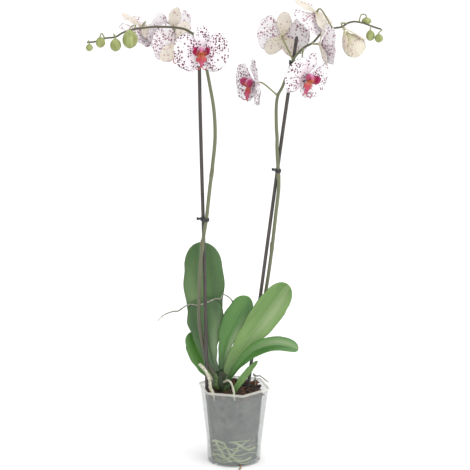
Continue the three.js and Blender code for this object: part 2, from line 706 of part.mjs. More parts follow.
// Roots pressed against the inside of the wall: [azimuth, height].
const WALL_GAP = 0.9;
const againstWall = ([azimuth, z]) =>
  around(azimuth, innerRadius(azimuth, z) - WALL_GAP - POT_ROOT_RADIUS, z);
function alongWall(strand) {
  const points = [];
  strand.slice(1).forEach(([azimuth, z], i) => {
    const [azimuthBefore, zBefore] = strand[i];
    points.push(againstWall(strand[i]));
    points.push(againstWall([(azimuth + azimuthBefore) / 2, (z + zBefore) / 2]));
  });
  return [...points, againstWall(strand[strand.length - 1])];
}
const potRootNets = {
  roots_in_pot_front: [
    [[-62, 36], [-44, 41], [-24, 38], [-6, 41], [12, 37], [34, 26], [58, 26]],
    [[-44, 41], [-34, 26], [-18, 13], [-4, 8]],
    [[-24, 38], [-12, 24], [2, 13], [22, 9], [44, 12]],
    [[-58, 14], [-40, 18], [-18, 13], [2, 24], [12, 37]],
  ],
  roots_in_pot_back: [
    [[100, 30], [124, 38], [150, 35], [176, 39], [204, 35], [236, 38]],
    [[124, 38], [142, 22], [168, 11], [196, 14], [226, 10]],
    [[176, 39], [196, 14]],
  ],
};
for (const [name, strands] of Object.entries(potRootNets)) {
  const parts = strands.map((strand) => rod(alongWall(strand), POT_ROOT_RADIUS, 5, 2 * strand.length - 2));
  piece(name, joined(parts), material(0x8d9c62, 0.6));
}

const drainRoot = [
  around(POT_CORNER_TURN, POT_BASE_RADIUS - 3.2, 2.4),
  around(POT_CORNER_TURN, POT_BASE_RADIUS + 3, 2.2),
  around(POT_CORNER_TURN - 4, POT_BASE_RADIUS + 12, 1.8),
  around(POT_CORNER_TURN - 7, POT_BASE_RADIUS + 22, 1.6),
  around(POT_CORNER_TURN - 10, POT_BASE_RADIUS + 29, 1.3),
];
piece('root_from_drain', rod(drainRoot, (t) => 1.4 - 0.5 * t, 6, 8), material(0x8a6a4a, 0.8));

// ---- Crown --------------------------------------------------------------------------------
let crown = toSolid(ball(plant(CROWN.centre), CROWN.size, 12, 8));
for (const shape of Object.values(leaves)) {
  crown = crown.subtract(toSolid(leafShape(shape, CLEARANCE)));
}
for (const shape of Object.values(aerialRoots)) {
  crown = crown.subtract(toSolid(rootShape(shape, CLEARANCE)));
}
for (const path of Object.values(spikePaths)) {
  crown = crown.subtract(toSolid(stemRod(path, CLEARANCE)));
}
piece('crown', crown, material(0x56703a, 0.6));

// ---- Growing medium -----------------------------------------------------------------------
const mediumEdge = (a, z) => {
  const tuck = z > ROOT_ZONE_HEIGHT ? 0 : 1;
  return innerRadius(a, z) - MEDIUM_INSET - (ROOT_SPACE - MEDIUM_INSET) * tuck;
};
// How far the uneven top stands above or below its level.
const lump = (a, r) =>
  1.3 * Math.sin(degrees(a * 3 + 40)) * Math.sin(r / 7) + 1.1 * Math.cos(degrees(a * 5)) * Math.cos(r / 9);
const mediumFloor = POT_FLOOR + CLEARANCE;
const mediumRings = [potAngles.map((a) => around(a, 3, mediumFloor))];
const mediumLevels = [
  mediumFloor,
  ...wallLevels.slice(1, 3),
  ROOT_ZONE_HEIGHT,
  ROOT_ZONE_HEIGHT + 6,
  mediumTop - 2,
];
for (const z of mediumLevels) {
  mediumRings.push(potAngles.map((a) => around(a, mediumEdge(a, z), z)));
}
for (const share of [0.82, 0.5, 0.2]) {
  mediumRings.push(
    potAngles.map((a) => {
      const r = mediumEdge(a, mediumTop) * share;
      return around(a, r, mediumTop + lump(a, r));
    }),
  );
}
let medium = toSolid(loft(mediumRings));
const crownSpace = CROWN.size.map((s) => s + CLEARANCE + 0.2);
medium = medium.subtract(toSolid(ball(plant(CROWN.centre), crownSpace, 12, 8)));
for (const points of Object.values(stakes)) {
  medium = medium.subtract(toSolid(stakeRod(points, CLEARANCE)));
}
for (const shape of Object.values(aerialRoots)) {
  medium = medium.subtract(toSolid(rootShape(shape, CLEARANCE)));
}
medium = medium.subtract(toSolid(leafShape(leaves.leaf_right_young, CLEARANCE)));
medium = medium.subtract(toSolid(leafShape(leaves.leaf_left_low, CLEARANCE)));
// The cuts can leave loose crumbs, so only the largest body is kept.
const [body] = [...medium.decompose()].sort((p, q) => q.volume() - p.volume());
piece('growing_medium', body, material(0x3a2b22, 0.95));

export default model;
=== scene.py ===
"""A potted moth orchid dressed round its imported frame. Metres, +Z up, the front is -Y."""
import random
from collections import namedtuple
from math import cos, exp, pi, radians, sin, sqrt, tau

import bmesh
import bpy
from mathutils import Matrix, Vector, noise


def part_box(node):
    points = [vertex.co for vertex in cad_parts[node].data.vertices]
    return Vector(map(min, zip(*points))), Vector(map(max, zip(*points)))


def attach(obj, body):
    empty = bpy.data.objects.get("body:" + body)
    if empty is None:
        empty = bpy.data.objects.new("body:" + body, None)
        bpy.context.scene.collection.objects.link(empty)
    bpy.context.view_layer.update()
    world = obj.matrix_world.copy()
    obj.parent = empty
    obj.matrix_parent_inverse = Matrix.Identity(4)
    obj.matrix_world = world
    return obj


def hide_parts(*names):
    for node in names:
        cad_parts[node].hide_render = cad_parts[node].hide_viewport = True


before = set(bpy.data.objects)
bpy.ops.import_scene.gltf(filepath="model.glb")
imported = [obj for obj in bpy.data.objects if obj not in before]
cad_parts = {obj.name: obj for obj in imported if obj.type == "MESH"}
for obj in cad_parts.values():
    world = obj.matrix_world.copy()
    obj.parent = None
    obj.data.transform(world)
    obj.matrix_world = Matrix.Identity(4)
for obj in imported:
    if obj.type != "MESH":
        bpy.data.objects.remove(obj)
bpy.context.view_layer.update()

MM = 0.001
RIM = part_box("pot")[1][2]  # the height of the pot's rim
random.seed(7)


# ---- Curves and shapes ----
def mm(x, y, z):
    return Vector((x, y, z)) * MM


def plant(point):
    """A plant point, in millimetres with its height counted from the rim."""
    return mm(*point) + Vector((0, 0, RIM))


def clamp(value, low=0.0, high=1.0):
    return max(low, min(high, value))


def smooth(value, start=0.0, end=1.0):
    t = clamp((value - start) / (end - start))
    return t * t * (3 - 2 * t)


def curve(points, steps):
    """Evenly spaced points along a smooth curve through these points."""
    ends = [points[0] * 2 - points[1], points[-1] * 2 - points[-2]]
    knots = [ends[0], *points, ends[1]]
    fine = []
    for a, b, c, d in zip(knots, knots[1:], knots[2:], knots[3:]):
        t1 = (b - a).length ** 0.5
        t2 = t1 + (c - b).length ** 0.5
        t3 = t2 + (d - c).length ** 0.5
        for k in range(12):
            t = t1 + (t2 - t1) * k / 12
            p = a.lerp(b, t / t1)
            q = b.lerp(c, (t - t1) / (t2 - t1))
            r = c.lerp(d, (t - t2) / (t3 - t2))
            fine.append(p.lerp(q, t / t2).lerp(q.lerp(r, (t - t1) / (t3 - t1)), (t - t1) / (t2 - t1)))
    fine.append(points[-1].copy())
    lengths = [0.0]
    for a, b in zip(fine, fine[1:]):
        lengths.append(lengths[-1] + (b - a).length)
    spaced = []
    i = 0
    for k in range(steps + 1):
        wanted = lengths[-1] * k / steps
        while i < len(fine) - 2 and lengths[i + 1] < wanted:
            i += 1
        share = (wanted - lengths[i]) / (lengths[i + 1] - lengths[i])
        spaced.append(fine[i].lerp(fine[i + 1], clamp(share)))
    return spaced


def directions(path):
    ahead = [*path[1:], path[-1] * 2 - path[-2]]
    behind = [path[0] * 2 - path[1], *path[:-1]]
    return [(b - a).normalized() for a, b in zip(behind, ahead)]


def look_up(table, s):
    """The value at s in a table of (position, value), joined smoothly."""
    for (s0, a), (s1, b) in zip(table, table[1:]):
        if s <= s1:
            return a + (b - a) * smooth(s, s0, s1)
    return table[-1][1]


def face_out(mesh):
    """Turns every face of a closed mesh outwards."""
    work = bmesh.new()
    work.from_mesh(mesh)
    bmesh.ops.recalc_face_normals(work, faces=work.faces)
    work.to_mesh(mesh)
    work.free()


def put(name, data):
    """A new object in the scene, made of this data."""
    made = bpy.data.objects.new(name, data)
    bpy.context.scene.collection.objects.link(made)
    return made


def round_tip(s, start):
    """1 up to start, then down to 0 at the end along a quarter of an ellipse."""
    return sqrt(max(0.0, 1 - ((s - start) / (1 - start)) ** 2)) if s > start else 1


class Shape:
    """The points and faces of one piece, with a finish and a surface place for each."""

    def __init__(self):
        self.points = []
        self.places = []
        self.shares = []
        self.faces = []
        self.finishes = []

    def loft(self, rings, places=None, shares=None, finish=0, finish_of=None, capped=True):
        """A skin over closed rings that hold equally many points."""
        start = len(self.points)
        count = len(rings[0])
        for i, ring in enumerate(rings):
            self.points.extend(ring)
            row = places[i] if places else [(i / len(rings), k / count) for k in range(count)]
            self.places.extend(row)
            self.shares.extend(shares[i] if shares else [(0.0, 0.0)] * count)
        for i in range(len(rings) - 1):
            for k in range(count):
                a = start + i * count + k
                b = start + i * count + (k + 1) % count
                self.faces.append((a, b, b + count, a + count))
                self.finishes.append(finish_of(k) if finish_of else finish)
        if capped:
            last = start + (len(rings) - 1) * count
            self.faces.append(tuple(range(start + count - 1, start - 1, -1)))
            self.faces.append(tuple(range(last, last + count)))
            self.finishes.extend([finish, finish])

    def tube(self, path, radius, sides=12, finish=0, lump=0.0):
        """A rod along a path. radius: a number, or a function of the share of its length."""
        tangents = directions(path)
        normal = tangents[0].orthogonal().normalized()
        rings = []
        for i, (centre, along) in enumerate(zip(path, tangents)):
            normal = (normal - along * normal.dot(along)).normalized()
            other = along.cross(normal)
            r = radius(i / (len(path) - 1)) if callable(radius) else radius
            ring = []
            for k in range(sides):
                angle = 2 * pi * k / sides
                out = normal * cos(angle) + other * sin(angle)
                bump = 1 + lump * noise.noise((centre + out * r) / (4 * MM))
                ring.append(centre + out * r * bump)
            rings.append(ring)
        shares = [[(i / (len(path) - 1), 0.0)] * sides for i in range(len(path))]
        self.loft(rings, shares=shares, finish=finish)

    def blade(self, spine, face, half_width, thickness, lift, stations, columns, shift, finish):
        """A leaf, petal or sepal. half_width(s) and lift(s, w) take shares along and across.

        shift: where its surface pattern starts. finish: of its upper and its lower side.
        """
        path = curve(spine, 96)
        tangents = directions(path)
        length = sum((b - a).length for a, b in zip(path, path[1:]))
        rings = []
        places = []
        shares = []
        for i in range(stations + 1):
            s = 1 - (1 - i / stations) ** 1.6
            at = min(int(s * 96), 95)
            centre = path[at].lerp(path[at + 1], s * 96 - at)
            along = tangents[at].lerp(tangents[at + 1], s * 96 - at).normalized()
            side = along.cross(face).normalized()
            out = side.cross(along).normalized()
            half = half_width(s)
            ring = []
            row = []
            part = []
            for facing in (1, -1):
                for k in range(columns):
                    w = facing * (2 * k / columns - 1)
                    depth = 0.5 * thickness * sqrt(max(0.0, 1 - w * w)) * facing
                    height = lift(s, w) + depth
                    ring.append(centre + side * w * half + out * height)
                    row.append((s * length / (40 * MM) + shift, w * half / (40 * MM) + shift * 0.7))
                    part.append((s, w))
            rings.append(ring)
            places.append(row)
            shares.append(part)
        upper, lower = finish
        self.loft(rings, places, shares, lower, lambda k: upper if k < columns else lower)

    def move(self, matrix, start=0):
        for i in range(start, len(self.points)):
            self.points[i] = matrix @ self.points[i]

    def piece(self, name, nodes, slot, looks, bevel=0.0):
        """Makes the object, with its finishes, standing for these frame nodes."""
        mesh = bpy.data.meshes.new(name)
        mesh.from_pydata(self.points, [], self.faces)
        for look in looks:
            mesh.materials.append(look.material)
        for polygon, finish in zip(mesh.polygons, self.finishes):
            polygon.material_index = finish
            polygon.use_smooth = True
        for layer_name, values in (("place", self.places), ("share", self.shares)):
            layer = mesh.uv_layers.new(name=layer_name)
            for loop in mesh.loops:
                layer.data[loop.index].uv = values[loop.vertex_index]
        mesh.validate()
        face_out(mesh)
        piece = put(name, mesh)
        if bevel:
            modifier = piece.modifiers.new("edges", "BEVEL")
            modifier.width = bevel
            modifier.segments = 2
        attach(piece, "root")
        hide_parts(*nodes)
        return piece


# ---- Finishes ----
def paint(red, green, blue):
    """A colour given as the eye sees it, 0 to 255, for a shader."""
    shares = [value / 255 for value in (red, green, blue)]
    return (*[v / 12.92 if v <= 0.04045 else ((v + 0.055) / 1.055) ** 2.4 for v in shares], 1.0)


class Look:
    """A material, and the few node steps that the finishes share."""

    def __init__(self, name, inputs):
        self.material = bpy.data.materials.new(name)
        self.material.use_nodes = True
        self.nodes = self.material.node_tree.nodes
        self.links = self.material.node_tree.links
        self.shader = self.nodes["Principled BSDF"]
        for socket, value in inputs.items():
            self.shader.inputs[socket].default_value = value

    def node(self, kind, inputs=(), **settings):
        made = self.nodes.new("ShaderNode" + kind)
        for key, value in settings.items():
            setattr(made, key, value)
        for socket, value in dict(inputs).items():
            if isinstance(value, bpy.types.NodeSocket):
                self.links.new(value, made.inputs[socket])
            else:
                made.inputs[socket].default_value = value
        return made

    def where(self, scale=(1, 1, 1), surface=False):
        """The place on the object, or on the blade's own surface, stretched by scale."""
        if surface:
            place = self.node("UVMap", uv_map="place").outputs["UV"]
        else:
            place = self.node("TexCoord").outputs["Object"]
        return self.node("Mapping", {"Vector": place, "Scale": scale}).outputs["Vector"]

    def share(self, axis):
        """How far along a blade (X, 0 to 1) or across it (Y, -1 to 1)."""
        layer = self.node("UVMap", uv_map="share").outputs["UV"]
        return self.node("SeparateXYZ", {0: layer}).outputs[axis]

    def cloud(self, place, scale, detail=3.0, rough=0.55):
        inputs = {"Vector": place, "Scale": scale, "Detail": detail, "Roughness": rough}
        return self.node("TexNoise", inputs).outputs["Fac"]

    def cells(self, place, scale, output="Distance", flat=False):
        dimensions = "2D" if flat else "3D"
        inputs = {"Vector": place, "Scale": scale}
        return self.node("TexVoronoi", inputs, voronoi_dimensions=dimensions).outputs[output]

    def fit(self, value, low, high, to_low=0.0, to_high=1.0):
        inputs = {"Value": value, "From Min": low, "From Max": high, "To Min": to_low, "To Max": to_high}
        return self.node("MapRange", inputs).outputs["Result"]

    def sum(self, operation, a, b):
        return self.node("Math", {0: a, 1: b}, operation=operation).outputs[0]

    def blend(self, share, a, b):
        """A mix of two colours. Each is a socket, or three numbers as the eye sees it, 0 to 255."""
        a, b = [paint(*colour) if isinstance(colour, tuple) else colour for colour in (a, b)]
        return self.node("Mix", {"Factor": share, 6: a, 7: b}, data_type="RGBA").outputs[2]

    def colour(self, value):
        self.links.new(value, self.shader.inputs["Base Color"])

    def roughness(self, value):
        self.links.new(value, self.shader.inputs["Roughness"])

    def relief(self, height, depth):
        bump = self.node("Bump", {"Height": height, "Distance": depth, "Strength": 0.6})
        self.links.new(bump.outputs["Normal"], self.shader.inputs["Normal"])


def clear_plastic(name, alpha, dark, light):
    """Scuffed clear plastic: a grey haze with faint upright streaks and small marks."""
    look = Look(name, {"Roughness": 0.25, "Alpha": alpha, "IOR": 1.49})
    haze = look.cloud(look.where((1, 1, 0.3)), 60, 4)
    scuffs = look.fit(look.cloud(look.where((1, 1, 0.6)), 210, 5, 0.7), 0.56, 0.72, 0, 0.5)
    body = look.blend(haze, dark, light)
    look.colour(look.blend(scuffs, body, (206, 210, 208)))
    look.roughness(look.fit(look.cloud(look.where(), 160), 0.3, 0.7, 0.18, 0.36))
    return look


def bark(name, dark, light):
    look = Look(name, {"Roughness": 0.9})
    cell = look.cells(look.where(), 130, "Color")
    patches = look.node("SeparateColor", {0: cell}).outputs["Red"]
    grain = look.cloud(look.where((1, 1, 3)), 240, 5, 0.65)
    tone = look.sum("MULTIPLY", look.sum("ADD", grain, look.cloud(look.where(), 60)), 0.5)
    tone = look.sum("ADD", tone, look.fit(patches, 0, 1, -0.09, 0.09))
    look.colour(look.blend(look.fit(tone, 0.35, 0.66), dark, light))
    look.relief(grain, 1.5 * MM)
    return look


def plastic(name, dark, light):
    look = Look(name, {"Roughness": 0.4})
    grain = look.cloud(look.where((1, 1, 0.06)), 700, 3)
    look.colour(look.blend(look.fit(grain, 0.35, 0.65), dark, light))
    look.roughness(look.fit(grain, 0.3, 0.7, 0.3, 0.5))
    look.relief(grain, 0.2 * MM)
    return look


def stem_skin(name, foot, middle, high):
    """Green stalk: brown at the foot, olive on the way up, browner again along the flowers."""
    look = Look(name, {"Roughness": 0.42, "Coat Weight": 0.1})
    height = look.node("SeparateXYZ", {0: look.where()}).outputs["Z"]
    streaks = look.cloud(look.where((1, 1, 0.12)), 420, 3)
    body = look.blend(look.fit(height, RIM + 0.06, RIM + 0.28), foot, middle)
    body = look.blend(look.fit(height, RIM + 0.52, RIM + 0.57), body, high)
    look.colour(look.blend(look.fit(streaks, 0.48, 0.72, 0, 0.4), body, (70, 58, 48)))
    look.relief(streaks, 0.25 * MM)
    return look


def leaf_skin(name, dark, light, flush, sheen_strength, gloss=0.36):
    """Leathery leaf: soft tones, fine lengthwise streaks, a pale fold line, a pale patch of painted
    highlight, and painted shade towards its foot.

    After the two colours: where along and across the blade the painted highlight lies, and how pale it is.
    """
    look = Look(name, {"Roughness": gloss, "Coat Weight": 0.3, "Coat Roughness": 0.28})
    across = look.sum("ABSOLUTE", look.share("Y"), 0.0)
    streaks = look.cloud(look.where((0.22, 9, 1), surface=True), 5, 4, 0.6)
    broad = look.cloud(look.where((0.35, 1.4, 1), surface=True), 1.3, 1)
    body = look.blend(look.fit(broad, 0.32, 0.68, 0, 0.6), dark, light)
    body = look.blend(look.fit(streaks, 0.46, 0.74, 0, 0.45), body, light)
    # Painted highlight: a pale sheen patch at the given place along and across the blade, broken by the
    # streaks, blended towards (150, 168, 124).
    away = look.sum("ABSOLUTE", look.sum("SUBTRACT", look.share("Y"), flush[1]), 0.0)
    beyond = look.sum("ABSOLUTE", look.sum("SUBTRACT", look.share("X"), flush[0]), 0.0)
    patch = look.sum("MULTIPLY", look.fit(away, 0.08, 0.55, 1, 0), look.fit(beyond, 0.1, 0.42, 1, 0))
    patch = look.sum("MULTIPLY", patch, look.fit(streaks, 0.3, 0.6, 0.5, 1.0))
    body = look.blend(look.sum("MULTIPLY", patch, sheen_strength), body, (150, 168, 124))
    # Painted shade: the blade darkens towards its foot.
    body = look.blend(look.fit(look.share("X"), 0.0, 0.3, 0.55, 0.0), body, (40, 60, 32))
    rib = look.fit(across, 0.0, 0.07, 0.55, 0.0)
    body = look.blend(rib, body, light)
    margin = look.fit(across, 0.93, 1.0, 0.0, 0.5)
    look.colour(look.blend(margin, body, light))
    look.relief(look.sum("ADD", streaks, look.sum("MULTIPLY", rib, -1.2)), 0.5 * MM)
    return look


def tepal_skin(name, base, foot, vein, spots, share, crowd):
    """Petal skin: a tint at the foot, fine veins, and round spots that gather in patches.

    share: how dark the spots are. crowd: how many cells hold a spot, in the clear and in a patch.
    """
    look = Look(name, {"Roughness": 0.5, "Sheen Weight": 0.12, "Specular IOR Level": 0.3})
    place = look.where(surface=True)
    veins = look.cloud(look.where((0.8, 9, 1), surface=True), 6, 3)
    body = look.blend(look.fit(look.share("X"), 0.05, 0.5, 0.9, 0.0), base, foot)
    body = look.blend(look.fit(veins, 0.48, 0.74, 0, 0.5), body, vein)
    patch = look.fit(look.cloud(place, 1.9, 2), 0.44, 0.6, *crowd)
    marks = None
    for scale, reach in ((12, 0.31), (8, 0.33)):
        cell = look.node("TexVoronoi", {"Vector": place, "Scale": scale, "Randomness": 0.85},
                         voronoi_dimensions="2D")
        chance = look.node("SeparateColor", {0: cell.outputs["Color"]}).outputs["Red"]
        held = look.sum("LESS_THAN", chance, patch)
        dot = look.fit(cell.outputs["Distance"], reach * 0.75, reach, 1, 0)
        dots = look.sum("MULTIPLY", held, dot)
        marks = look.sum("MAXIMUM", marks, dots) if marks else dots
    look.colour(look.blend(look.sum("MULTIPLY", marks, share), body, spots))
    look.relief(veins, 0.35 * MM)
    return look


def lip_skin(name, foot, middle, tip, mark):
    """Lip skin: three colours along it, broken by fine lengthwise streaks."""
    look = Look(name, {"Roughness": 0.36, "Coat Weight": 0.15})
    along = look.share("X")
    streaks = look.cloud(look.where((1, 7, 1), surface=True), 9, 3)
    body = look.blend(look.fit(along, 0.25, 0.5), foot, middle)
    body = look.blend(look.fit(along, 0.6, 0.85), body, tip)
    look.colour(look.blend(look.fit(streaks, 0.46, 0.6, 0, 0.85), body, mark))
    look.relief(streaks, 0.4 * MM)
    return look


def mottled(name, base, second, third, scale, roughness, stretch=(1, 1, 1)):
    """A skin of two mixed tones with patches of a third, for buds, roots and the crown."""
    look = Look(name, {"Roughness": roughness})
    tones = look.cloud(look.where(stretch), scale, 4)
    patches = look.cloud(look.where(stretch), scale * 0.37, 3)
    body = look.blend(look.fit(tones, 0.35, 0.68), base, second)
    look.colour(look.blend(look.fit(patches, 0.54, 0.72, 0, 0.75), body, third))
    look.relief(tones, 0.6 * MM)
    return look


# ---- Pot ----
POT_RIM_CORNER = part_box("pot")[1][0] / sin(radians(74))
POT_BASE_RADIUS = 42 * MM
POT_CORNER_TURN = 14  # degrees from the front to the nearest rim corner
HEXAGON_FULL_HEIGHT = 55 * MM
WALL = 1.5 * MM
LIP_WIDTH = 1.6 * MM
LIP_HEIGHT = 3.5 * MM
HEADSPACE = 11 * MM  # from the rim down to the growing medium


def around(azimuth, radius, height):
    """A point at an azimuth counted in degrees from the front towards the right."""
    return Vector((radius * sin(radians(azimuth)), -radius * cos(radians(azimuth)), height))


def wall_radius(azimuth, height):
    """The wall's outside: round at the base, six-sided with softened corners from halfway up."""
    corner = POT_RIM_CORNER - LIP_WIDTH / cos(radians(30))
    size = POT_BASE_RADIUS + (corner - POT_BASE_RADIUS) * height / RIM
    turn = (azimuth - POT_CORNER_TURN) % 60 - 30
    hexagon = cos(radians(30)) / cos(radians(turn))
    if hexagon > 0.975:
        hexagon = 0.975 + (hexagon - 0.975) * 0.7
    return size * (1 + (hexagon - 1) * smooth(height, 0, HEXAGON_FULL_HEIGHT))


def ring_at(offset, height, count=180):
    angles = [POT_CORNER_TURN + 360 * k / count for k in range(count)]
    return [around(a, wall_radius(a, height) + offset, height) for a in angles]


def cut(piece, cutter):
    """Cuts one mesh out of another and forgets the cutter."""
    modifier = piece.modifiers.new("cut", "BOOLEAN")
    modifier.operation = "DIFFERENCE"
    modifier.object = cutter
    bpy.context.view_layer.update()
    result = bpy.data.meshes.new_from_object(piece.evaluated_get(bpy.context.evaluated_depsgraph_get()))
    piece.modifiers.clear()
    piece.data = result
    bpy.data.objects.remove(cutter)


def make_pot():
    """The clear pot: a round foot that grows six-sided, a turned lip, drain slots and holes."""
    levels = [RIM * k / 24 for k in range(24)]
    middle = [around(2 * k, 1.5 * MM, 0.6 * MM) for k in range(180)]
    under = RIM - LIP_HEIGHT
    profile = [(-4 * MM, 0.6 * MM), (-1.6 * MM, 0), (-0.4 * MM, 0.2 * MM)]
    profile += [(0, max(z, 0.8 * MM)) for z in levels]
    profile += [(0.1 * MM, under - 0.6 * MM), (LIP_WIDTH * 0.75, under), (LIP_WIDTH, under + 0.5 * MM)]
    profile += [
        (LIP_WIDTH, RIM - 0.5 * MM), (LIP_WIDTH * 0.7, RIM), (-WALL * 0.7, RIM), (-WALL, RIM - 0.5 * MM),
    ]
    profile += [(-WALL, max(z, 2 * MM)) for z in reversed(levels)]
    floor = [point + Vector((0, 0, 1.4 * MM)) for point in middle]
    shape = Shape()
    shape.loft([middle, *[ring_at(offset, height) for offset, height in profile], floor])
    for number, face in enumerate(shape.faces):
        if min(shape.points[corner].z for corner in face) > under - 0.7 * MM:
            shape.finishes[number] = 1
    wall = clear_plastic("clear_wall", 0.235, (156, 161, 160), (182, 187, 185))
    lip = clear_plastic("clear_lip", 0.62, (196, 194, 184), (222, 220, 212))
    pot = shape.piece("pot_clear", ["pot"], "clear_pot", [wall, lip])
    cutter = Shape()
    corners = [(-6, -7), (6, -7), (6, 5), (-6, 5)]  # degrees along the wall, millimetres out from it
    for k in range(6):
        azimuth = POT_CORNER_TURN + 60 * k
        slot = [around(azimuth + side, POT_BASE_RADIUS + out * MM, 0) for side, out in corners]
        cutter.loft([[p + Vector((0, 0, z)) for p in slot] for z in (-5 * MM, 5 * MM)])
        hole = around(azimuth + 30, 20 * MM, 0)
        turns = [tau * n / 20 for n in range(20)]
        circle = [hole + Vector((cos(t), sin(t), 0)) * 3.5 * MM for t in turns]
        cutter.loft([[p + Vector((0, 0, z)) for p in circle] for z in (-5 * MM, 6 * MM)])
    mesh = bpy.data.meshes.new("cutter")
    mesh.from_pydata(cutter.points, [], cutter.faces)
    face_out(mesh)
    cut(pot, put("cutter", mesh))


# ---- Growing medium ----
MEDIUM_TOP = RIM - HEADSPACE
PLUG_FOOT = 35.5 * MM
PLUG_TOP = 46 * MM
CHIPS = 300


def mound(place):
    """How much higher the bark lies towards the back of the pot."""
    return 6.5 * MM * smooth(place.y, 4 * MM, 40 * MM)


def make_medium():
    """The bark: a lumpy round mass behind the wall, with loose chips on its top."""
    shape = Shape()
    turns = [360 * k / 96 for k in range(96)]
    rings = [[around(a, 34 * MM * share, 2.6 * MM) for a in turns] for share in (0.05, 0.3, 0.6, 0.9)]
    for level in range(23):
        z = 4 * MM + (MEDIUM_TOP - 6 * MM) * level / 22
        size = PLUG_FOOT + (PLUG_TOP - PLUG_FOOT) * z / RIM
        lumps = [1.6 * MM * noise.noise(around(a, size, z) / (7 * MM)) for a in turns]
        rings.append([around(a, size + lump, z) for a, lump in zip(turns, lumps)])
    for share in (0.96, 0.8, 0.55, 0.3, 0.05):
        ring = [around(a, (PLUG_TOP - 1 * MM) * share, MEDIUM_TOP) for a in turns]
        for place in ring:
            place.z += mound(place)
        rings.append([p + Vector((0, 0, 2.2 * MM * noise.noise(p / (9 * MM)))) for p in ring])
    shape.loft(rings)
    chips = Shape()
    outline = [(-1, -0.7), (-0.4, -1), (0.6, -0.9), (1, -0.3), (0.8, 0.7), (0.1, 1), (-0.8, 0.8)]
    for _ in range(CHIPS):
        azimuth = random.uniform(0, 360)
        reach = wall_radius(azimuth, MEDIUM_TOP) - 6.5 * MM
        distance = reach * sqrt(random.random())
        centre = around(azimuth, distance, MEDIUM_TOP + random.uniform(-2.6, 1.8) * MM)
        centre.z += mound(centre)
        size = Vector((random.uniform(3, 7), random.uniform(2.2, 4.5), random.uniform(1.2, 2.6))) * MM
        turn = Matrix.Rotation(random.uniform(0, tau), 3, "Z")
        turn = turn @ Matrix.Rotation(random.uniform(-0.7, 0.7), 3, "X")
        start = len(chips.points)
        rings = []
        for height, narrow in ((-1, 0.72), (-0.5, 1), (0.5, 0.97), (1, 0.7)):
            ring = []
            for x, y in outline:
                j = random.uniform(0.82, 1.12)
                ring.append(Vector((x * j * narrow * size.x, y * j * narrow * size.y, height * size.z)))
            rings.append(ring)
        chips.loft(rings, finish=0 if random.random() < 0.62 else 1)
        chips.move(Matrix.Translation(centre) @ turn.to_4x4(), start)
    bodies = bark("bark_body", (22, 20, 19), (104, 98, 92))
    chip_dark = bark("bark_dark", (24, 16, 12), (64, 44, 34))
    chip_red = bark("bark_red", (58, 30, 20), (112, 70, 48))
    shape.piece("bark_mass", ["growing_medium"], "bark_medium", [bodies])
    chips.piece("bark_chips", ["growing_medium"], "bark_medium", [chip_dark, chip_red], bevel=0.3 * MM)


# ---- Stakes and clips ----
STAKE_RADIUS = 2.8 * MM
STAKES = {
    "left": [
        (-38, -10, -62), (-40.5, -10.6, -31), (-43, -11.4, -6), (-43.6, -12, 37), (-46, -12, 183),
        (-52, -12, 443), (-53, -12, 516),
    ],
    "right": [(16, 9, -62), (24, 11, 5), (44, 15, 160), (68, 15, 346), (80, 15, 437), (97, 15, 555)],
}


def make_stakes():
    finishes = {
        "left": plastic("stake_left", (48, 43, 42), (76, 69, 66)),
        "right": plastic("stake_right", (50, 46, 45), (80, 74, 71)),
    }
    rounding = [(0, 0.3), (0.003, 0.8), (0.008, 1), (0.992, 1), (0.997, 0.8), (1, 0.35)]
    stops = sorted({*[s for s, _ in rounding], *[k / 60 for k in range(1, 60)]})

    def radius(t):
        return STAKE_RADIUS * look_up(rounding, stops[round(t * (len(stops) - 1))])

    for hand, points in STAKES.items():
        path = curve([plant(p) for p in points], 60)
        rod = []
        for s in stops:
            at = min(int(s * 60), 59)
            rod.append(path[at].lerp(path[at + 1], s * 60 - at))
        shape = Shape()
        shape.tube(rod, radius, 20)
        shape.piece(f"stake_{hand}_rod", [f"stake_{hand}"], "stake", [finishes[hand]])


# How high each clip sits, in millimetres above the rim, and on which stake.
CLIPS = {"clip_left": (273, "left"), "clip_right_low": (346, "right"), "clip_right_high": (515, "right")}


def point_at_height(points, height):
    path = curve([plant(p) for p in points], 400)
    return min(path, key=lambda p: abs(p.z - RIM - height * MM))


def make_clips():
    """Butterfly clips: a band round the stake, a band round the stalk, and two ribbed wings."""
    section = [
        (-0.6, -2.5), (0.6, -2.5), (0.75, -1.8), (0.75, 1.8), (0.6, 2.5), (-0.6, 2.5), (-0.75, 1.8),
        (-0.75, -1.8),
    ]
    wing = [(-1, -0.8), (0, -1), (1, -0.8), (1, 0.8), (0, 1), (-1, 0.8)]
    black = plastic("clip_black", (20, 21, 25), (44, 45, 50))
    for name, (height, hand) in CLIPS.items():
        stake = point_at_height(STAKES[hand], height)
        stalk = point_at_height(SPIKES[hand], height)
        stalk.z = stake.z
        away = (stake - stalk).normalized()
        shape = Shape()
        for centre, radius in ((stake, STAKE_RADIUS + 1.1 * MM), (stalk, 4 * MM)):
            rings = []
            for k in range(33):
                turn = Matrix.Rotation(tau * k / 32, 3, "Z") @ away
                rings.append([centre + turn * (radius + x * MM) + Vector((0, 0, z * MM)) for x, z in section])
            shape.loft(rings, capped=False)
        for turn in (-38, 38):
            direction = Matrix.Rotation(radians(turn), 3, "Z") @ away
            side = Vector((-direction.y, direction.x, 0))
            rings = []
            for k in range(13):
                s = k / 12
                half = (1.6 + 0.9 * smooth(s)) * MM
                thick = (0.7 + 0.25 * cos(s * 22)) * MM
                reach = STAKE_RADIUS + 1 * MM + s * 6.4 * MM
                centre = stake + direction * reach + side * (1.4 * MM * s * s)
                rings.append([centre + side * x * thick + Vector((0, 0, z * half)) for x, z in wing])
            shape.loft(rings)
        shape.piece(f"{name}_butterfly", [name], "clip", [black])


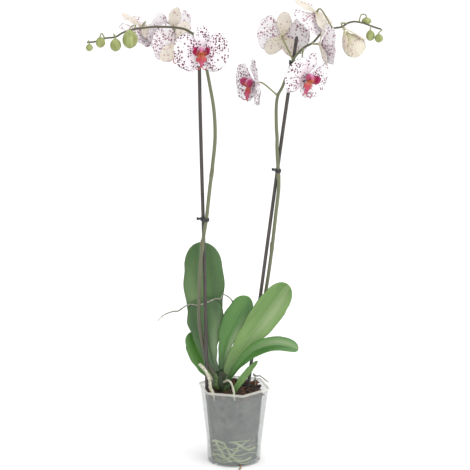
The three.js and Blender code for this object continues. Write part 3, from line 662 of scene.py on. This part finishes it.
# ---- Flowers ----
# In a flower's own frame x is its right petal, y its dorsal sepal and z its face.
FLOWER_SIZE = 84 / 82  # the flowers' width against the sizes below
HUB_BACK = -3.4 * FLOWER_SIZE
LIP_SHARE = 1.3  # how large the lip is against the tepals
# at: the centre. face: where it looks. up: its dorsal sepal. bend: degrees that the tepals lean
# forward. root: where its pedicel leaves the spike.
Flower = namedtuple("Flower", "at face up bend root")
FLOWERS = {
    "left": {
        "a": Flower((-144, 56, 564), (-0.5, 0.3, -0.8), (-0.6, 0, 1), 6, (-140, 1, 569)),
        "b": Flower((-96, 35, 562), (-0.6, 0.75, 0.3), (0, 0, 1), 6, (-95, 1, 571)),
        "c": Flower((-85, 10, 542), (-0.3, 0.9, -0.2), (0.35, 0, 1), 3, (-70, -5, 565)),
        "d": Flower((-49, -48, 540), (0, -1, 0), (0, 0, 1), 2, (-56, -10, 555)),
    },
    "right": {
        "e": Flower((33, 4, 484), (-1, -0.5, 0), (0.1, 0, 1), 14, (67, 12, 463)),
        "f": Flower((76, 38, 553), (0.15, 1, 0.1), (0.1, 0, 1), 6, (92, 9, 519)),
        "g": Flower((109, -52, 502), (0.6, -0.8, -0.25), (0.42, 0, 1), 2, (107, 7, 538)),
        "h": Flower((131, -34, 549), (1, 0.1, 0), (0.1, 0, 1), 20, (121, 6, 546)),
        "i": Flower((126, 36, 588), (-0.6, 0.35, -0.75), (-0.7, 0, 0.7), 12, (151, 4, 568)),
        "j": Flower((169, -9, 568), (0.5, -0.1, -0.85), (1, 0, 0.6), 58, (173, 2, 576)),
    },
}
# turn: degrees from the right petal. width: the half width. rise: how far its foot stands forward.
# curl: how far its middle leans forward of a straight line.
Tepal = namedtuple("Tepal", "turn length width rise curl")
TEPALS = {
    "sepals": [Tepal(90, 37, 12, -1.6, -1.2), Tepal(-53, 37, 12, -1.6, -1.6), Tepal(233, 37, 12, -1.6, -1.6)],
    "petals": [Tepal(-2, 41, 28, 1.6, 1.4), Tepal(182, 41, 28, 1.6, 1.4)],
}


def flower_matrix(flower):
    z = Vector(flower.face).normalized()
    x = Vector(flower.up).cross(z).normalized()
    y = z.cross(x)
    turn = Matrix((x, y, z)).transposed().to_4x4()
    return Matrix.Translation(plant(flower.at)) @ turn


def add_tepal(shape, tepal, group, bend, narrow, seed):
    out = Vector((cos(radians(tepal.turn)), sin(radians(tepal.turn)), 0))
    lift = radians(bend)

    def at(along, up):
        flat = along * cos(lift) - up * sin(lift)
        height = along * sin(lift) + up * cos(lift) + tepal.rise
        return (out * flat + Vector((0, 0, height))) * MM * FLOWER_SIZE

    length, curl = tepal.length, tepal.curl
    spine = [at(1.5, 0), at(length * 0.35, curl), at(length * 0.7, curl), at(length, curl * 0.3)]
    face = Matrix.Rotation(-lift, 3, Vector((-out.y, out.x, 0))) @ Vector((0, 0, 1))
    width = tepal.width * narrow * MM * FLOWER_SIZE
    petal = group == "petals"
    foot = 0.13 if petal else 0.28

    def half_width(s):
        body = foot + (1 - foot) * smooth(s, -0.06, 0.46 if petal else 0.5)
        tip = round_tip(s, 0.5 if petal else 0.46)
        scallop = 1 + 0.035 * sin(s * 15 + seed)
        return width * body * (0.02 + 0.98 * tip) * scallop

    cup = 0.25 if bend > 30 else 0.02
    depth = 2.2 * MM if petal else 1.3 * MM

    def surface(s, w):
        edge = abs(w) ** 2.2 * smooth(s, 0.15, 0.6)
        ruffle = sin(s * 11 + w * 2.6 + seed) * 0.6 + sin(s * 19 - w * 4 + seed * 2) * 0.25
        rib = -0.5 * MM * exp(-((w / 0.09) ** 2)) * (1 - s * 0.6)
        droop = -2.4 * MM * smooth(s, 0.6, 1.05)
        return cup * w * w * half_width(s) + depth * edge * ruffle + rib + (droop if bend < 30 else 0)

    shape.blade(spine, face, half_width, 0.9 * MM, surface, 30, 18, seed * 3.7, (0, 1))


def make_tepals(letter, flower, group, looks):
    shape = Shape()
    half_open = flower.bend > 30
    bend = flower.bend * (1 if group == "sepals" else 1.3)
    for number, tepal in enumerate(TEPALS[group]):
        seed = ord(letter) * 0.61 + number * 2.1 + (0.9 if group == "petals" else 0)
        add_tepal(shape, tepal, group, bend, 0.6 if half_open else 1, seed)
    low, high = (-3.4, -0.6) if group == "sepals" else (0.4, 3.6 if half_open else 2.2)
    hub = [(low, 1.4), (low + 0.5, 2.4), ((low + high) / 2, 3.1), (high - 0.4, 2.5), (high, 1)]
    rings = []
    for z, radius in hub:
        turns = [tau * k / 16 for k in range(16)]
        rings.append([mm(radius * cos(t), radius * sin(t), z) * FLOWER_SIZE for t in turns])
    shape.loft(rings, finish=1)
    if group == "petals" and half_open:
        shape.move(Matrix.Translation(mm(0, 0, 3.4)))
    shape.move(flower_matrix(flower))
    shape.piece(f"{letter}_{group}", [f"flower_{letter}_{group}"], group[:-1], looks)


def make_lip(letter, flower, looks):
    """Column, three-lobed lip with its callus, and two curled tendrils."""
    shape = Shape()

    def at(x, y, z):
        return mm(x, y, z) * FLOWER_SIZE * LIP_SHARE

    size = MM * FLOWER_SIZE * LIP_SHARE
    column = curve([at(0, 1.2, 2.6), at(0, 2.8, 6.5), at(0, 1.4, 10.5), at(0, -0.6, 11.6)], 14)
    shape.tube(column, lambda t: (1.9 + 1.1 * sin(t * 2.7) - 0.6 * smooth(t, 0.85, 1)) * size, 16, 2)
    cap = curve([at(0, 1.4, 10.9), at(0, -0.4, 12.2), at(0, -1.4, 12.4)], 6)
    shape.tube(cap, lambda t: 1.9 * sqrt(max(0.04, 1 - (2 * t - 1) ** 2)) * size, 12, 3)
    widths = [(0, 2.2), (0.22, 2.6), (0.5, 6.4), (0.62, 6.2), (0.82, 2.6), (1, 1)]
    shape.blade(
        [at(0, 0, 4.4), at(0, -5, 9.2), at(0, -11, 11.4), at(0, -17, 9.6)],
        Vector((0, 0.6, 1)).normalized(),
        lambda s: look_up(widths, s) * size,
        1.7 * size,
        lambda s, w: (-2.2 * w * w * smooth(s, 0.3, 0.6) + 1.4 * exp(-((w / 0.22) ** 2))) * size,
        26, 14, 0.3, (1, 1),
    )
    side_spine = [(0.8, -1, 5.2), (5.4, -1.4, 7.6), (8.6, 1.6, 10.6), (9, 5, 14)]
    side_widths = [(0, 1.4), (0.35, 4.0), (0.7, 5.2), (0.92, 3.4), (1, 1.2)]
    for hand in (-1, 1):
        shape.blade(
            [at(hand * x, y, z) for x, y, z in side_spine],
            Vector((-hand, 0.3, 0.8)).normalized(),
            lambda s: look_up(side_widths, s) * size,
            1.0 * size,
            lambda s, w: (1.5 * w * w + 0.5 * sin(s * 9 + w * 3)) * size,
            18, 12, 0.6 + hand * 0.2, (0, 0),
        )
        callus = curve([at(hand * 0.9, -0.4, 7.2), at(hand * 1.7, -1.6, 10), at(hand * 2.3, -0.6, 11.6)], 6)
        shape.tube(callus, lambda t: (1.35 - 0.5 * t) * size, 10, 3)
        bends = [(0.6, -16, 10), (2.2, -19, 10.6), (4.6, -19.8, 12), (6.4, -17.6, 14), (5.2, -15.6, 14.6)]
        tendril = curve([at(hand * x, y, z) for x, y, z in bends], 18)
        shape.tube(tendril, lambda t: (0.75 - 0.45 * t) * size, 8, 0)
    shape.move(flower_matrix(flower))
    shape.piece(f"{letter}_lip", [f"flower_{letter}_lip"], "lip", looks)


def make_flowers():
    crimson = (96, 14, 50)
    faded = (128, 48, 86)
    white, blush, cream = (237, 235, 238), (222, 206, 216), (218, 210, 198)
    front = tepal_skin("petal_front", white, blush, blush, crimson, 0.97, (0.2, 0.95))
    behind = tepal_skin("petal_back", (233, 230, 231), (214, 204, 202), blush, faded, 0.85, (0.08, 0.7))
    sepal_front = tepal_skin("sepal_front", white, blush, blush, crimson, 0.95, (0.1, 0.85))
    sepal_back = tepal_skin("sepal_back", cream, (196, 188, 164), (206, 192, 180), faded, 0.5, (0.03, 0.4))
    vein = (178, 150, 130)
    cream_front = tepal_skin("young_front", (226, 221, 204), (200, 194, 162), vein, faded, 0.7, (0.04, 0.5))
    cream_back = tepal_skin("young_back", (218, 212, 194), (188, 184, 144), vein, faded, 0.45, (0.03, 0.4))
    lip = [
        lip_skin("lip_side", (208, 120, 110), (158, 26, 70), (190, 60, 118), (140, 18, 60)),
        lip_skin("lip_middle", (216, 150, 72), (184, 62, 66), (204, 88, 136), (156, 26, 62)),
        lip_skin("lip_column", (226, 186, 206), (214, 160, 190), (190, 96, 140), (180, 70, 124)),
        lip_skin("lip_callus", (222, 170, 84), (214, 132, 72), (200, 96, 70), (166, 46, 62)),
    ]
    for spray in FLOWERS.values():
        for letter, flower in spray.items():
            young = flower.bend > 30
            sepal_looks = [cream_front, cream_back] if young else [sepal_front, sepal_back]
            petal_looks = [cream_front, cream_back] if young else [front, behind]
            make_tepals(letter, flower, "sepals", sepal_looks)
            make_tepals(letter, flower, "petals", petal_looks)
            if not young:
                make_lip(letter, flower, lip)


# ---- Flower spikes and buds ----
SPIKES = {
    "left": [
        (-29, -7, 14), (-35, -6.5, 26), (-43, -6, 38), (-47, -7, 58), (-52, -10, 84), (-55, -13, 111),
        (-54.5, -16, 153), (-52, -18.5, 205), (-47, -19.5, 249), (-43, -19, 273), (-38, -17, 318),
        (-33, -16, 359), (-29, -16, 403), (-31, -16, 447), (-37, -16, 483), (-42, -16, 510), (-46, -14, 534),
        (-56, -10, 555), (-73, -4, 567), (-89, 0, 570), (-113, 2, 571), (-133, 2, 570), (-154, 0, 567),
        (-171, -2, 562), (-181, -3, 556), (-197, -4, 554), (-212, -5, 549), (-225, -6, 548),
    ],
    "right": [
        (-13, 3, 14), (-7, 12, 22), (8, 22, 44), (30, 24, 80), (45, 21, 119), (52, 15, 161), (58.5, 13, 209),
        (65.5, 12, 274), (70, 10.5, 320), (69, 9.5, 345), (67, 11, 382), (67, 11, 398), (66, 11.5, 412),
        (66, 12, 452),
        (69, 12, 466), (74, 10, 475), (82, 7, 497), (91, 7, 519), (98, 7, 529), (107, 7, 538), (121, 6, 546),
        (135, 5, 561), (151, 4, 568), (166, 3, 571), (173, 2, 576), (184, 1, 579), (197, 0, 577),
        (206, 0, 574), (214, -1, 571), (224, -2, 568),
    ],
}
# stem: from the spike, over and down to the bud.
Bud = namedtuple("Bud", "at size stem")
BUDS = {
    "left": {
        1: Bud((-221, -14, 541), (5, 5, 5.4), [(-223, -6, 548), (-222, -10, 551)]),
        2: Bud((-204, -13, 549), (6.8, 6.6, 8), [(-199, -4, 554), (-202, -8, 562)]),
        3: Bud((-181, -14, 545), (8, 7.6, 9.5), [(-181, -3, 556), (-184, -8, 561)]),
        4: Bud((-159, -15, 554), (11, 10, 13.5), [(-154, 0, 567), (-150, -7, 574), (-155, -13, 574)]),
    },
    "right": {
        1: Bud((203, 10, 579), (7, 6, 5.4), [(190, 1, 578), (195, 5, 589), (201, 9, 589)]),
        2: Bud((208, -10, 559), (6.4, 6.4, 7.8), [(208, 0, 573), (209, -6, 572)]),
        3: Bud((221, -11, 555), (6.2, 6, 6.4), [(223, -2, 568), (226, -7, 567)]),
    },
}
BUD_SWELL = 1.07  # how far the buds stand proud of the plain frame
SPIKE_NODES = {"left": (0.12, 0.3, 0.46), "right": (0.14, 0.33, 0.5)}


def nearest(path, point):
    return min(path, key=lambda p: (p - point).length).copy()


def make_spike(hand, looks):
    path = curve([plant(p) for p in SPIKES[hand]], 260)
    nodes = SPIKE_NODES[hand]

    def radius(t):
        swell = sum(exp(-(((t - n) / 0.006) ** 2)) for n in nodes)
        return (2.8 - 1.4 * smooth(t, 0.5, 1) + 0.5 * swell) * MM

    shape = Shape()
    shape.tube(path, radius, 16)
    tangents = directions(path)
    for number, n in enumerate(nodes):
        k = int(n * 260)
        side = tangents[k].orthogonal().normalized()
        side = Matrix.Rotation(number * 2.4, 3, tangents[k]) @ side
        foot = path[k] + side * 2.2 * MM
        spine = [foot, path[k + 2] + side * 3.3 * MM, path[k + 5] + side * 3.6 * MM]
        shape.blade(spine, side, lambda s: 3 * MM * sqrt(max(0.01, 1 - s * s)), 0.5 * MM,
                    lambda s, w: -2.2 * MM * w * w, 10, 8, 0, (1, 1))
    for flower in FLOWERS[hand].values():
        matrix = flower_matrix(flower)
        end = matrix @ mm(0, 0, HUB_BACK + 0.4)
        before = matrix @ mm(0, 0, HUB_BACK - 7)
        stalk = curve([nearest(path, plant(flower.root)), before, end], 16)
        shape.tube(stalk, lambda t: (1.25 + 0.7 * exp(-t * 14) + 0.5 * smooth(t, 0.85, 1)) * MM, 10, 2)
    for bud in BUDS[hand].values():
        top = plant(bud.at) + mm(0, 0, bud.size[2] - 0.3)
        over = top + mm(0, 0, 2)
        foot, *bow = [plant(p) for p in bud.stem]
        stalk = curve([nearest(path, foot), *bow, over, top], 18)
        shape.tube(stalk, lambda t: (0.95 + 0.6 * exp(-t * 12)) * MM, 10, 2)
    shape.piece(f"spike_{hand}_stalk", [f"spike_{hand}"], "stem", looks)


def make_buds(look):
    outline = [
        (0, 0.1), (0.05, 0.42), (0.16, 0.74), (0.34, 0.97), (0.5, 1), (0.68, 0.9), (0.84, 0.66),
        (0.95, 0.36), (1, 0.08),
    ]
    for hand, buds in BUDS.items():
        for number, bud in buds.items():
            shape = Shape()
            width, depth, height = [side * BUD_SWELL for side in bud.size]
            rings = []
            for i in range(21):
                s = i / 20
                z = -cos(pi * s)
                breadth = look_up(outline, (z + 1) / 2)
                ring = []
                for k in range(30):
                    t = tau * k / 30
                    seam = 1 + 0.05 * cos(3 * t) - 0.07 * exp(-((sin(1.5 * t + 0.6) / 0.16) ** 2))
                    x = cos(t) * width * breadth * seam
                    y = sin(t) * depth * breadth * seam
                    ring.append(plant(bud.at) + mm(x, y, z * height))
                rings.append(ring)
            shape.loft(rings)
            shape.piece(f"bud_{hand}_{number}_closed", [f"bud_{hand}_{number}"], "bud", [look])


# ---- Leaves ----
# spine: from the crown to the tip. face: where the upper side looks. fold: how steeply its halves
# rise. outline: half widths. The next two: where the painted highlight lies, and how pale that highlight is.
LEAF_TIP = 0.82  # from here on the leaf rounds off
Leaf = namedtuple("Leaf", "spine face fold outline flush pale dark light")
LEAVES = {
    "leaf_left_tall": Leaf(
        [(-26, 5, 19), (-33, 11, 32), (-42, 20, 66), (-47, 26, 133), (-49, 29, 189), (-55, 28, 227)],
        (0.05, -1, 0.12), 0.1,
        [
            (0, 6), (0.08, 7), (0.2, 12), (0.36, 21), (0.52, 28.5), (0.68, 33), (0.82, 30), (0.92, 21),
            (0.98, 11), (1, 2),
        ],
        (0.5, -0.6), 0.3, (44, 78, 34), (84, 124, 60),
    ),
    "leaf_left_inner": Leaf(
        [(-27, -1, 20), (-34, 3, 34), (-42, 12, 66), (-45, 18, 100), (-46, 22, 137)],
        (0.05, -1, 0.1), 0.08,
        [(0, 5.5), (0.12, 7.5), (0.32, 13.5), (0.5, 22), (0.7, 30), (0.85, 28), (0.95, 18), (1, 3)],
        (0.45, 0.6), 0.35, (42, 76, 36), (80, 118, 60),
    ),
    "leaf_left_low": Leaf(
        [(-29, 4, 4), (-38, 14, 14), (-51, 24, 36), (-62, 28, 58), (-69, 28, 80)],
        (0.25, -1, 0.25), 0.12,
        [(0, 5.5), (0.15, 8.5), (0.35, 14.5), (0.55, 18), (0.75, 17), (0.9, 11.5), (1, 2)],
        (0.75, 0.5), 0.35, (58, 108, 36), (98, 146, 62),
    ),
    "leaf_right_middle": Leaf(
        [(-18, 3, 22), (-18, 6, 40), (-10, 7, 78), (9, 5, 119), (23, 1, 145)],
        (-0.1, -1, 0.25), 0.14,
        [(0, 5.5), (0.15, 7), (0.32, 10.5), (0.5, 17), (0.68, 20.5), (0.84, 18), (0.94, 11.5), (1, 2)],
        (0.38, 0.75), 0.75, (50, 96, 34), (88, 136, 58),
    ),
    "leaf_right_large": Leaf(
        [(-11, -6, 15), (-7, -7, 34), (14, -8, 68), (45, -10, 111), (69, -10, 145), (84, -8, 168)],
        (-0.1, -1, 0.35), 0.14,
        [(0, 6), (0.1, 8), (0.25, 12.5), (0.42, 18), (0.6, 23), (0.76, 24), (0.88, 20), (0.96, 12), (1, 2)],
        (0.72, 0.3), 0.7, (82, 120, 52), (126, 158, 92),
    ),
    "leaf_right_level": Leaf(
        [
            (-9, -11, 6), (-4, -19, 20), (10, -29, 44), (34, -36, 67), (64, -42, 78), (88, -46, 76),
            (100, -48, 71),
        ],
        (-0.15, -0.62, 1), 0.2,
        [(0, 5), (0.1, 6.5), (0.25, 9), (0.42, 13), (0.6, 16), (0.78, 15.5), (0.92, 10.5), (1, 2)],
        (0.8, -0.3), 0.5, (50, 98, 38), (94, 142, 64),
    ),
    "leaf_right_young": Leaf(
        [(-1, -23, -8), (4, -27, 4), (19, -31, 27), (37, -35, 50)],
        (-0.2, -1, 0.4), 0.3,
        [(0, 3), (0.2, 4.4), (0.45, 5.6), (0.7, 5.2), (0.9, 3.2), (1, 0.8)],
        (0.6, 0.2), 0.4, (76, 118, 50), (112, 152, 78),
    ),
}


def make_leaf(name, leaf, seed):
    def half_width(s):
        full = look_up(leaf.outline, min(s, LEAF_TIP))
        return full * (0.03 + 0.97 * round_tip(s, LEAF_TIP)) * MM

    def surface(s, w):
        half = half_width(s)
        wave = sin(s * 9 + seed) * 0.035 * abs(w) ** 1.5 + sin(s * 17 + w * 2 + seed) * 0.012 * abs(w)
        groove = -0.9 * MM * exp(-((w / 0.1) ** 2)) * smooth(s, 0.05, 0.3) * (1 - 0.7 * s)
        return leaf.fold * abs(w) ** 1.3 * half + wave * half + groove

    shape = Shape()
    # Both sides carry a painted highlight: the upper one where the table puts it, the underside a fainter one
    # halfway along.
    upper = leaf_skin(f"{name}_upper", leaf.dark, leaf.light, leaf.flush, leaf.pale)
    underside = tuple(min(255, round(c * 1.1 + 26)) for c in leaf.light)
    lower = leaf_skin(f"{name}_lower", leaf.light, underside, (0.5, 0.4), 0.3, 0.5)
    spine = [plant(p) for p in leaf.spine]
    shape.blade(spine, Vector(leaf.face).normalized(), half_width, 2.2 * MM, surface, 60, 24, seed, (0, 1))
    shape.piece(f"{name}_blade", [name], "leaf", [upper, lower])


# ---- Roots ----
Root = namedtuple("Root", "radius path")
AERIAL_ROOTS = {
    "root_aerial_long": Root(1.15, [
        (-14, 5, 18), (-9, 14, 46), (-2, 14, 86), (3, 13, 112), (-1, 13, 131), (-6, 14, 139),
        (-14, 15, 144), (-18, 15, 145), (-21, 15, 138), (-29, 15, 138), (-41, 14, 133), (-56, 14, 128),
        (-71, 14, 129), (-81, 12, 124), (-89, 10, 119), (-95, 9, 119), (-111, 5, 114), (-121, 2, 105),
    ]),
    "root_aerial_thick": Root(2.4, [
        (-28, -8, 6), (-40, -4, 19), (-50, -4, 30), (-54, -15, 38), (-48, -25, 36), (-42, -29, 27),
        (-38, -32, 16), (-37, -34, 6), (-33, -36, -3), (-31, -36, -14),
    ]),
    "root_front": Root(1.7, [
        (-16, -12, 8), (-10, -24, 15), (-5, -33, 14), (-2, -39, 8), (0, -43, 0), (1, -44, -14),
    ]),
    "root_curled": Root(1.1, [
        (34, 24, -14), (34, 14, 8), (31, 5, 17), (36, 0, 15), (41, 1, 15), (45, 2, 12), (51, 4, 6.5),
        (56, 6, 2.6),
    ]),
}
WALL_GAP = 0.9 * MM
POT_ROOT_RADIUS = 1.7 * MM
# Strands against the inside of the wall: (azimuth, height in millimetres).
POT_ROOTS = {
    "roots_in_pot_front": [
        [(-62, 36), (-44, 41), (-24, 38), (-6, 41), (12, 37), (34, 26), (58, 26)],
        [(-44, 41), (-34, 26), (-18, 13), (-4, 8)],
        [(-24, 38), (-12, 24), (2, 13), (22, 9), (44, 12)],
        [(-58, 14), (-40, 18), (-18, 13), (2, 24), (12, 37)],
    ],
    "roots_in_pot_back": [
        [(100, 30), (124, 38), (150, 35), (176, 39), (204, 35), (236, 38)],
        [(124, 38), (142, 22), (168, 11), (196, 14), (226, 10)],
        [(176, 39), (196, 14)],
    ],
}
# Finer strands that lie with them, mostly level.
FINE_POT_ROOTS = {
    "roots_in_pot_front": [
        [(-58, 30), (-36, 33), (-14, 29), (8, 32), (30, 40), (52, 45)],
        [(-56, 23), (-34, 25), (-12, 20), (14, 19), (40, 21), (62, 16)],
        [(-6, 41), (16, 43), (36, 41), (58, 38)],
        [(-52, 8), (-28, 5), (-2, 10), (24, 4), (52, 6)],
        [(-34, 26), (-16, 30), (6, 26), (28, 31), (54, 31)],
        [(-60, 18), (-46, 11), (-26, 9), (-8, 15), (18, 14)],
    ],
    "roots_in_pot_back": [
        [(96, 20), (122, 26), (150, 24), (180, 29), (210, 25), (240, 28)],
        [(104, 40), (134, 33), (162, 41), (192, 31), (222, 41)],
        [(100, 10), (132, 8), (160, 16), (190, 7), (220, 17)],
    ],
}
FINE_ROOT_SHARE = 0.6


def against_wall(strand):
    points = []
    for azimuth, height in strand:
        z = height * MM
        points.append(around(azimuth, wall_radius(azimuth, z) - WALL - WALL_GAP - POT_ROOT_RADIUS, z))
    return points


def make_roots():
    pale = mottled("root_pale", (204, 203, 186), (166, 164, 142), (142, 132, 98), 240, 0.8)
    grey = mottled("root_grey", (158, 157, 146), (118, 117, 108), (104, 96, 78), 240, 0.85)
    for name, root in AERIAL_ROOTS.items():
        shape = Shape()
        path = curve([plant(p) for p in root.path], 110)
        wide = root.radius * MM

        def radius(t, wide=wide):
            return wide * (1 + 0.1 * sin(t * 31) - 0.45 * smooth(t, 0.93, 1))

        shape.tube(path, radius, 14, 0, 0.16)
        skin = grey if root.radius < 1.4 else pale
        shape.piece(f"{name}_strand", [name], "aerial_root", [skin])
    green = mottled("root_green", (186, 194, 152), (142, 162, 92), (170, 178, 134), 120, 0.6)
    for name, strands in POT_ROOTS.items():
        shape = Shape()
        for strand in strands:
            path = curve(against_wall(strand), 40)
            shape.tube(path, lambda t: POT_ROOT_RADIUS * (1 + 0.12 * sin(t * 23)), 12, 0, 0.12)
        for strand in FINE_POT_ROOTS[name]:
            path = curve(against_wall(strand), 40)
            shape.tube(path, lambda t: POT_ROOT_RADIUS * FINE_ROOT_SHARE * (1 - 0.4 * t), 10, 0, 0.12)
        shape.piece(f"{name}_net", [name], "pot_root", [green])
    brown = mottled("root_dry", (122, 92, 62), (168, 136, 100), (88, 62, 42), 300, 0.85)
    route = [(0, -3.2, 2.4), (0, 3, 2.2), (-4, 12, 1.8), (-7, 22, 1.6), (-10, 29, 1.3)]
    points = [around(POT_CORNER_TURN + turn, POT_BASE_RADIUS + out * MM, z * MM) for turn, out, z in route]
    shape = Shape()
    shape.tube(curve(points, 40), lambda t: (1.35 - 0.6 * t) * MM, 12, 0, 0.2)
    shape.piece("dry_root_strand", ["root_from_drain"], "dry_root", [brown])


# ---- Crown ----
def make_crown():
    """The short stem, wrapped in the folded feet of the leaves."""
    shape = Shape()
    centre = Vector([(a + b) / 2 for a, b in zip(*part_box("crown"))])
    half = Vector([(b - a) / 2 for a, b in zip(*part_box("crown"))])
    rings = []
    for i in range(25):
        z = -cos(pi * i / 24)
        breadth = sqrt(max(0.002, 1 - z * z)) * 0.9
        ring = []
        for k in range(40):
            t = tau * k / 40
            ridge = 1 + 0.08 * cos(4 * t + z * 2) + 0.05 * sin(9 * t + z * 5)
            x = half.x * cos(t) * breadth * ridge
            y = half.y * sin(t) * breadth * ridge
            ring.append(centre + Vector((x, y, half.z * z)))
        rings.append(ring)
    shape.loft(rings)
    for number in range(6):
        side = -1 if number % 2 else 1
        level = -0.5 + number * 0.17
        foot = centre + Vector((side * half.x * 0.35, -half.y * 0.55, half.z * (level - 0.35)))
        middle = centre + Vector((side * half.x * 0.85, -half.y * 0.75, half.z * (level + 0.15)))
        tip = centre + Vector((side * half.x * 0.95, -half.y * 0.2, half.z * (level + 0.6)))
        shape.blade(
            [foot, middle, tip], Vector((side * 0.5, -1, 0.2)).normalized(),
            lambda s: 5.4 * MM * sqrt(max(0.02, 1 - (s - 0.35) ** 2 * 1.9)), 1.1 * MM,
            lambda s, w: -2.6 * MM * w * w, 14, 12, number * 1.3, (1, 1),
        )
    body = mottled("crown_body", (34, 46, 28), (54, 68, 38), (48, 38, 28), 150, 0.65)
    sheath = mottled("crown_sheath", (48, 70, 36), (76, 98, 54), (84, 74, 50), 110, 0.5, (1, 1, 0.3))
    shape.piece("crown_sheaths", ["crown"], "crown", [body, sheath])


make_pot()
make_medium()
make_stakes()
make_clips()
make_flowers()
stalk_looks = [
    stem_skin("stalk", (78, 74, 60), (104, 110, 80), (82, 80, 60)),
    mottled("bract", (120, 112, 78), (92, 84, 60), (140, 128, 96), 260, 0.7),
    stem_skin("pedicel", (132, 134, 92), (132, 134, 92), (126, 126, 84)),
]
for hand in SPIKES:
    make_spike(hand, stalk_looks)
make_buds(mottled("bud_skin", (126, 136, 74), (160, 168, 108), (132, 110, 76), 130, 0.45, (1, 1, 0.35)))
for number, (name, leaf) in enumerate(LEAVES.items()):
    make_leaf(name, leaf, 1.3 * number)
make_roots()
make_crown()


# ---- Floor, light and camera ----
FLOOR_REACH = 12
SEEN_WHITE = 1.04  # how bright the surround is to the camera
LIGHT_WHITE = 0.78  # how bright it is as a light
LENS = 150.2  # millimetres, on a sensor 36 mm wide
CAMERA_PLACE = (0.0016, -3.0, 1.029)
CAMERA_TILT = 12.42  # degrees down from level


def make_floor():
    mesh = bpy.data.meshes.new("floor")
    corners = [(x * FLOOR_REACH, y * FLOOR_REACH, 0) for x, y in ((-1, -1), (1, -1), (1, 1), (-1, 1))]
    mesh.from_pydata(corners, [], [(0, 1, 2, 3)])
    floor = put("floor", mesh)
    look = Look("floor_white", {"Roughness": 0.9})
    look.colour(look.fit(look.cloud(look.where(), 30), 0, 1, 0.93, 0.96))
    floor.data.materials.append(look.material)


def softbox(name, place, target, size, power):
    light = bpy.data.lights.new(name, "AREA")
    light.energy = power
    light.shape = "RECTANGLE"
    light.size, light.size_y = size
    lamp = put(name, light)
    lamp.location = place
    lamp.rotation_euler = (Vector(target) - Vector(place)).to_track_quat("-Z", "Y").to_euler()


def make_studio():
    """A white surround seen by the camera, dimmer as a light, and one very soft sun."""
    world = bpy.data.worlds.new("studio")
    world.use_nodes = True
    nodes = world.node_tree.nodes
    links = world.node_tree.links
    seen = nodes["Background"]
    seen.inputs["Strength"].default_value = SEEN_WHITE
    felt = nodes.new("ShaderNodeBackground")
    felt.inputs["Strength"].default_value = LIGHT_WHITE
    for sky in (seen, felt):
        sky.inputs["Color"].default_value = (1, 1, 1, 1)
    mix = nodes.new("ShaderNodeMixShader")
    links.new(nodes.new("ShaderNodeLightPath").outputs["Is Camera Ray"], mix.inputs[0])
    links.new(felt.outputs[0], mix.inputs[1])
    links.new(seen.outputs[0], mix.inputs[2])
    links.new(mix.outputs[0], nodes["World Output"].inputs["Surface"])
    bpy.context.scene.world = world
    light = bpy.data.lights.new("soft_sun", "SUN")
    light.energy = 1.7
    light.angle = radians(110)
    sun = put("soft_sun", light)
    sun.rotation_euler = Vector((-0.55, 0.7, -1.15)).to_track_quat("-Z", "Y").to_euler()
    softbox("key", (1.3, -1.7, 1.9), (0, 0, 0.4), (1.0, 1.2), 7)
    softbox("rim", (-0.9, 1.6, 1.6), (0, 0, 0.5), (1.2, 1.0), 6)


def make_camera():
    camera = bpy.data.cameras.new("camera")
    camera.lens = LENS
    camera.sensor_width = 36
    seat = put("camera", camera)
    seat.location = CAMERA_PLACE
    seat.rotation_euler = (radians(90 - CAMERA_TILT), 0, 0)
    bpy.context.scene.camera = seat


make_floor()
make_studio()
make_camera()
bpy.context.scene.view_settings.view_transform = "Standard"

bpy.context.view_layer.update()
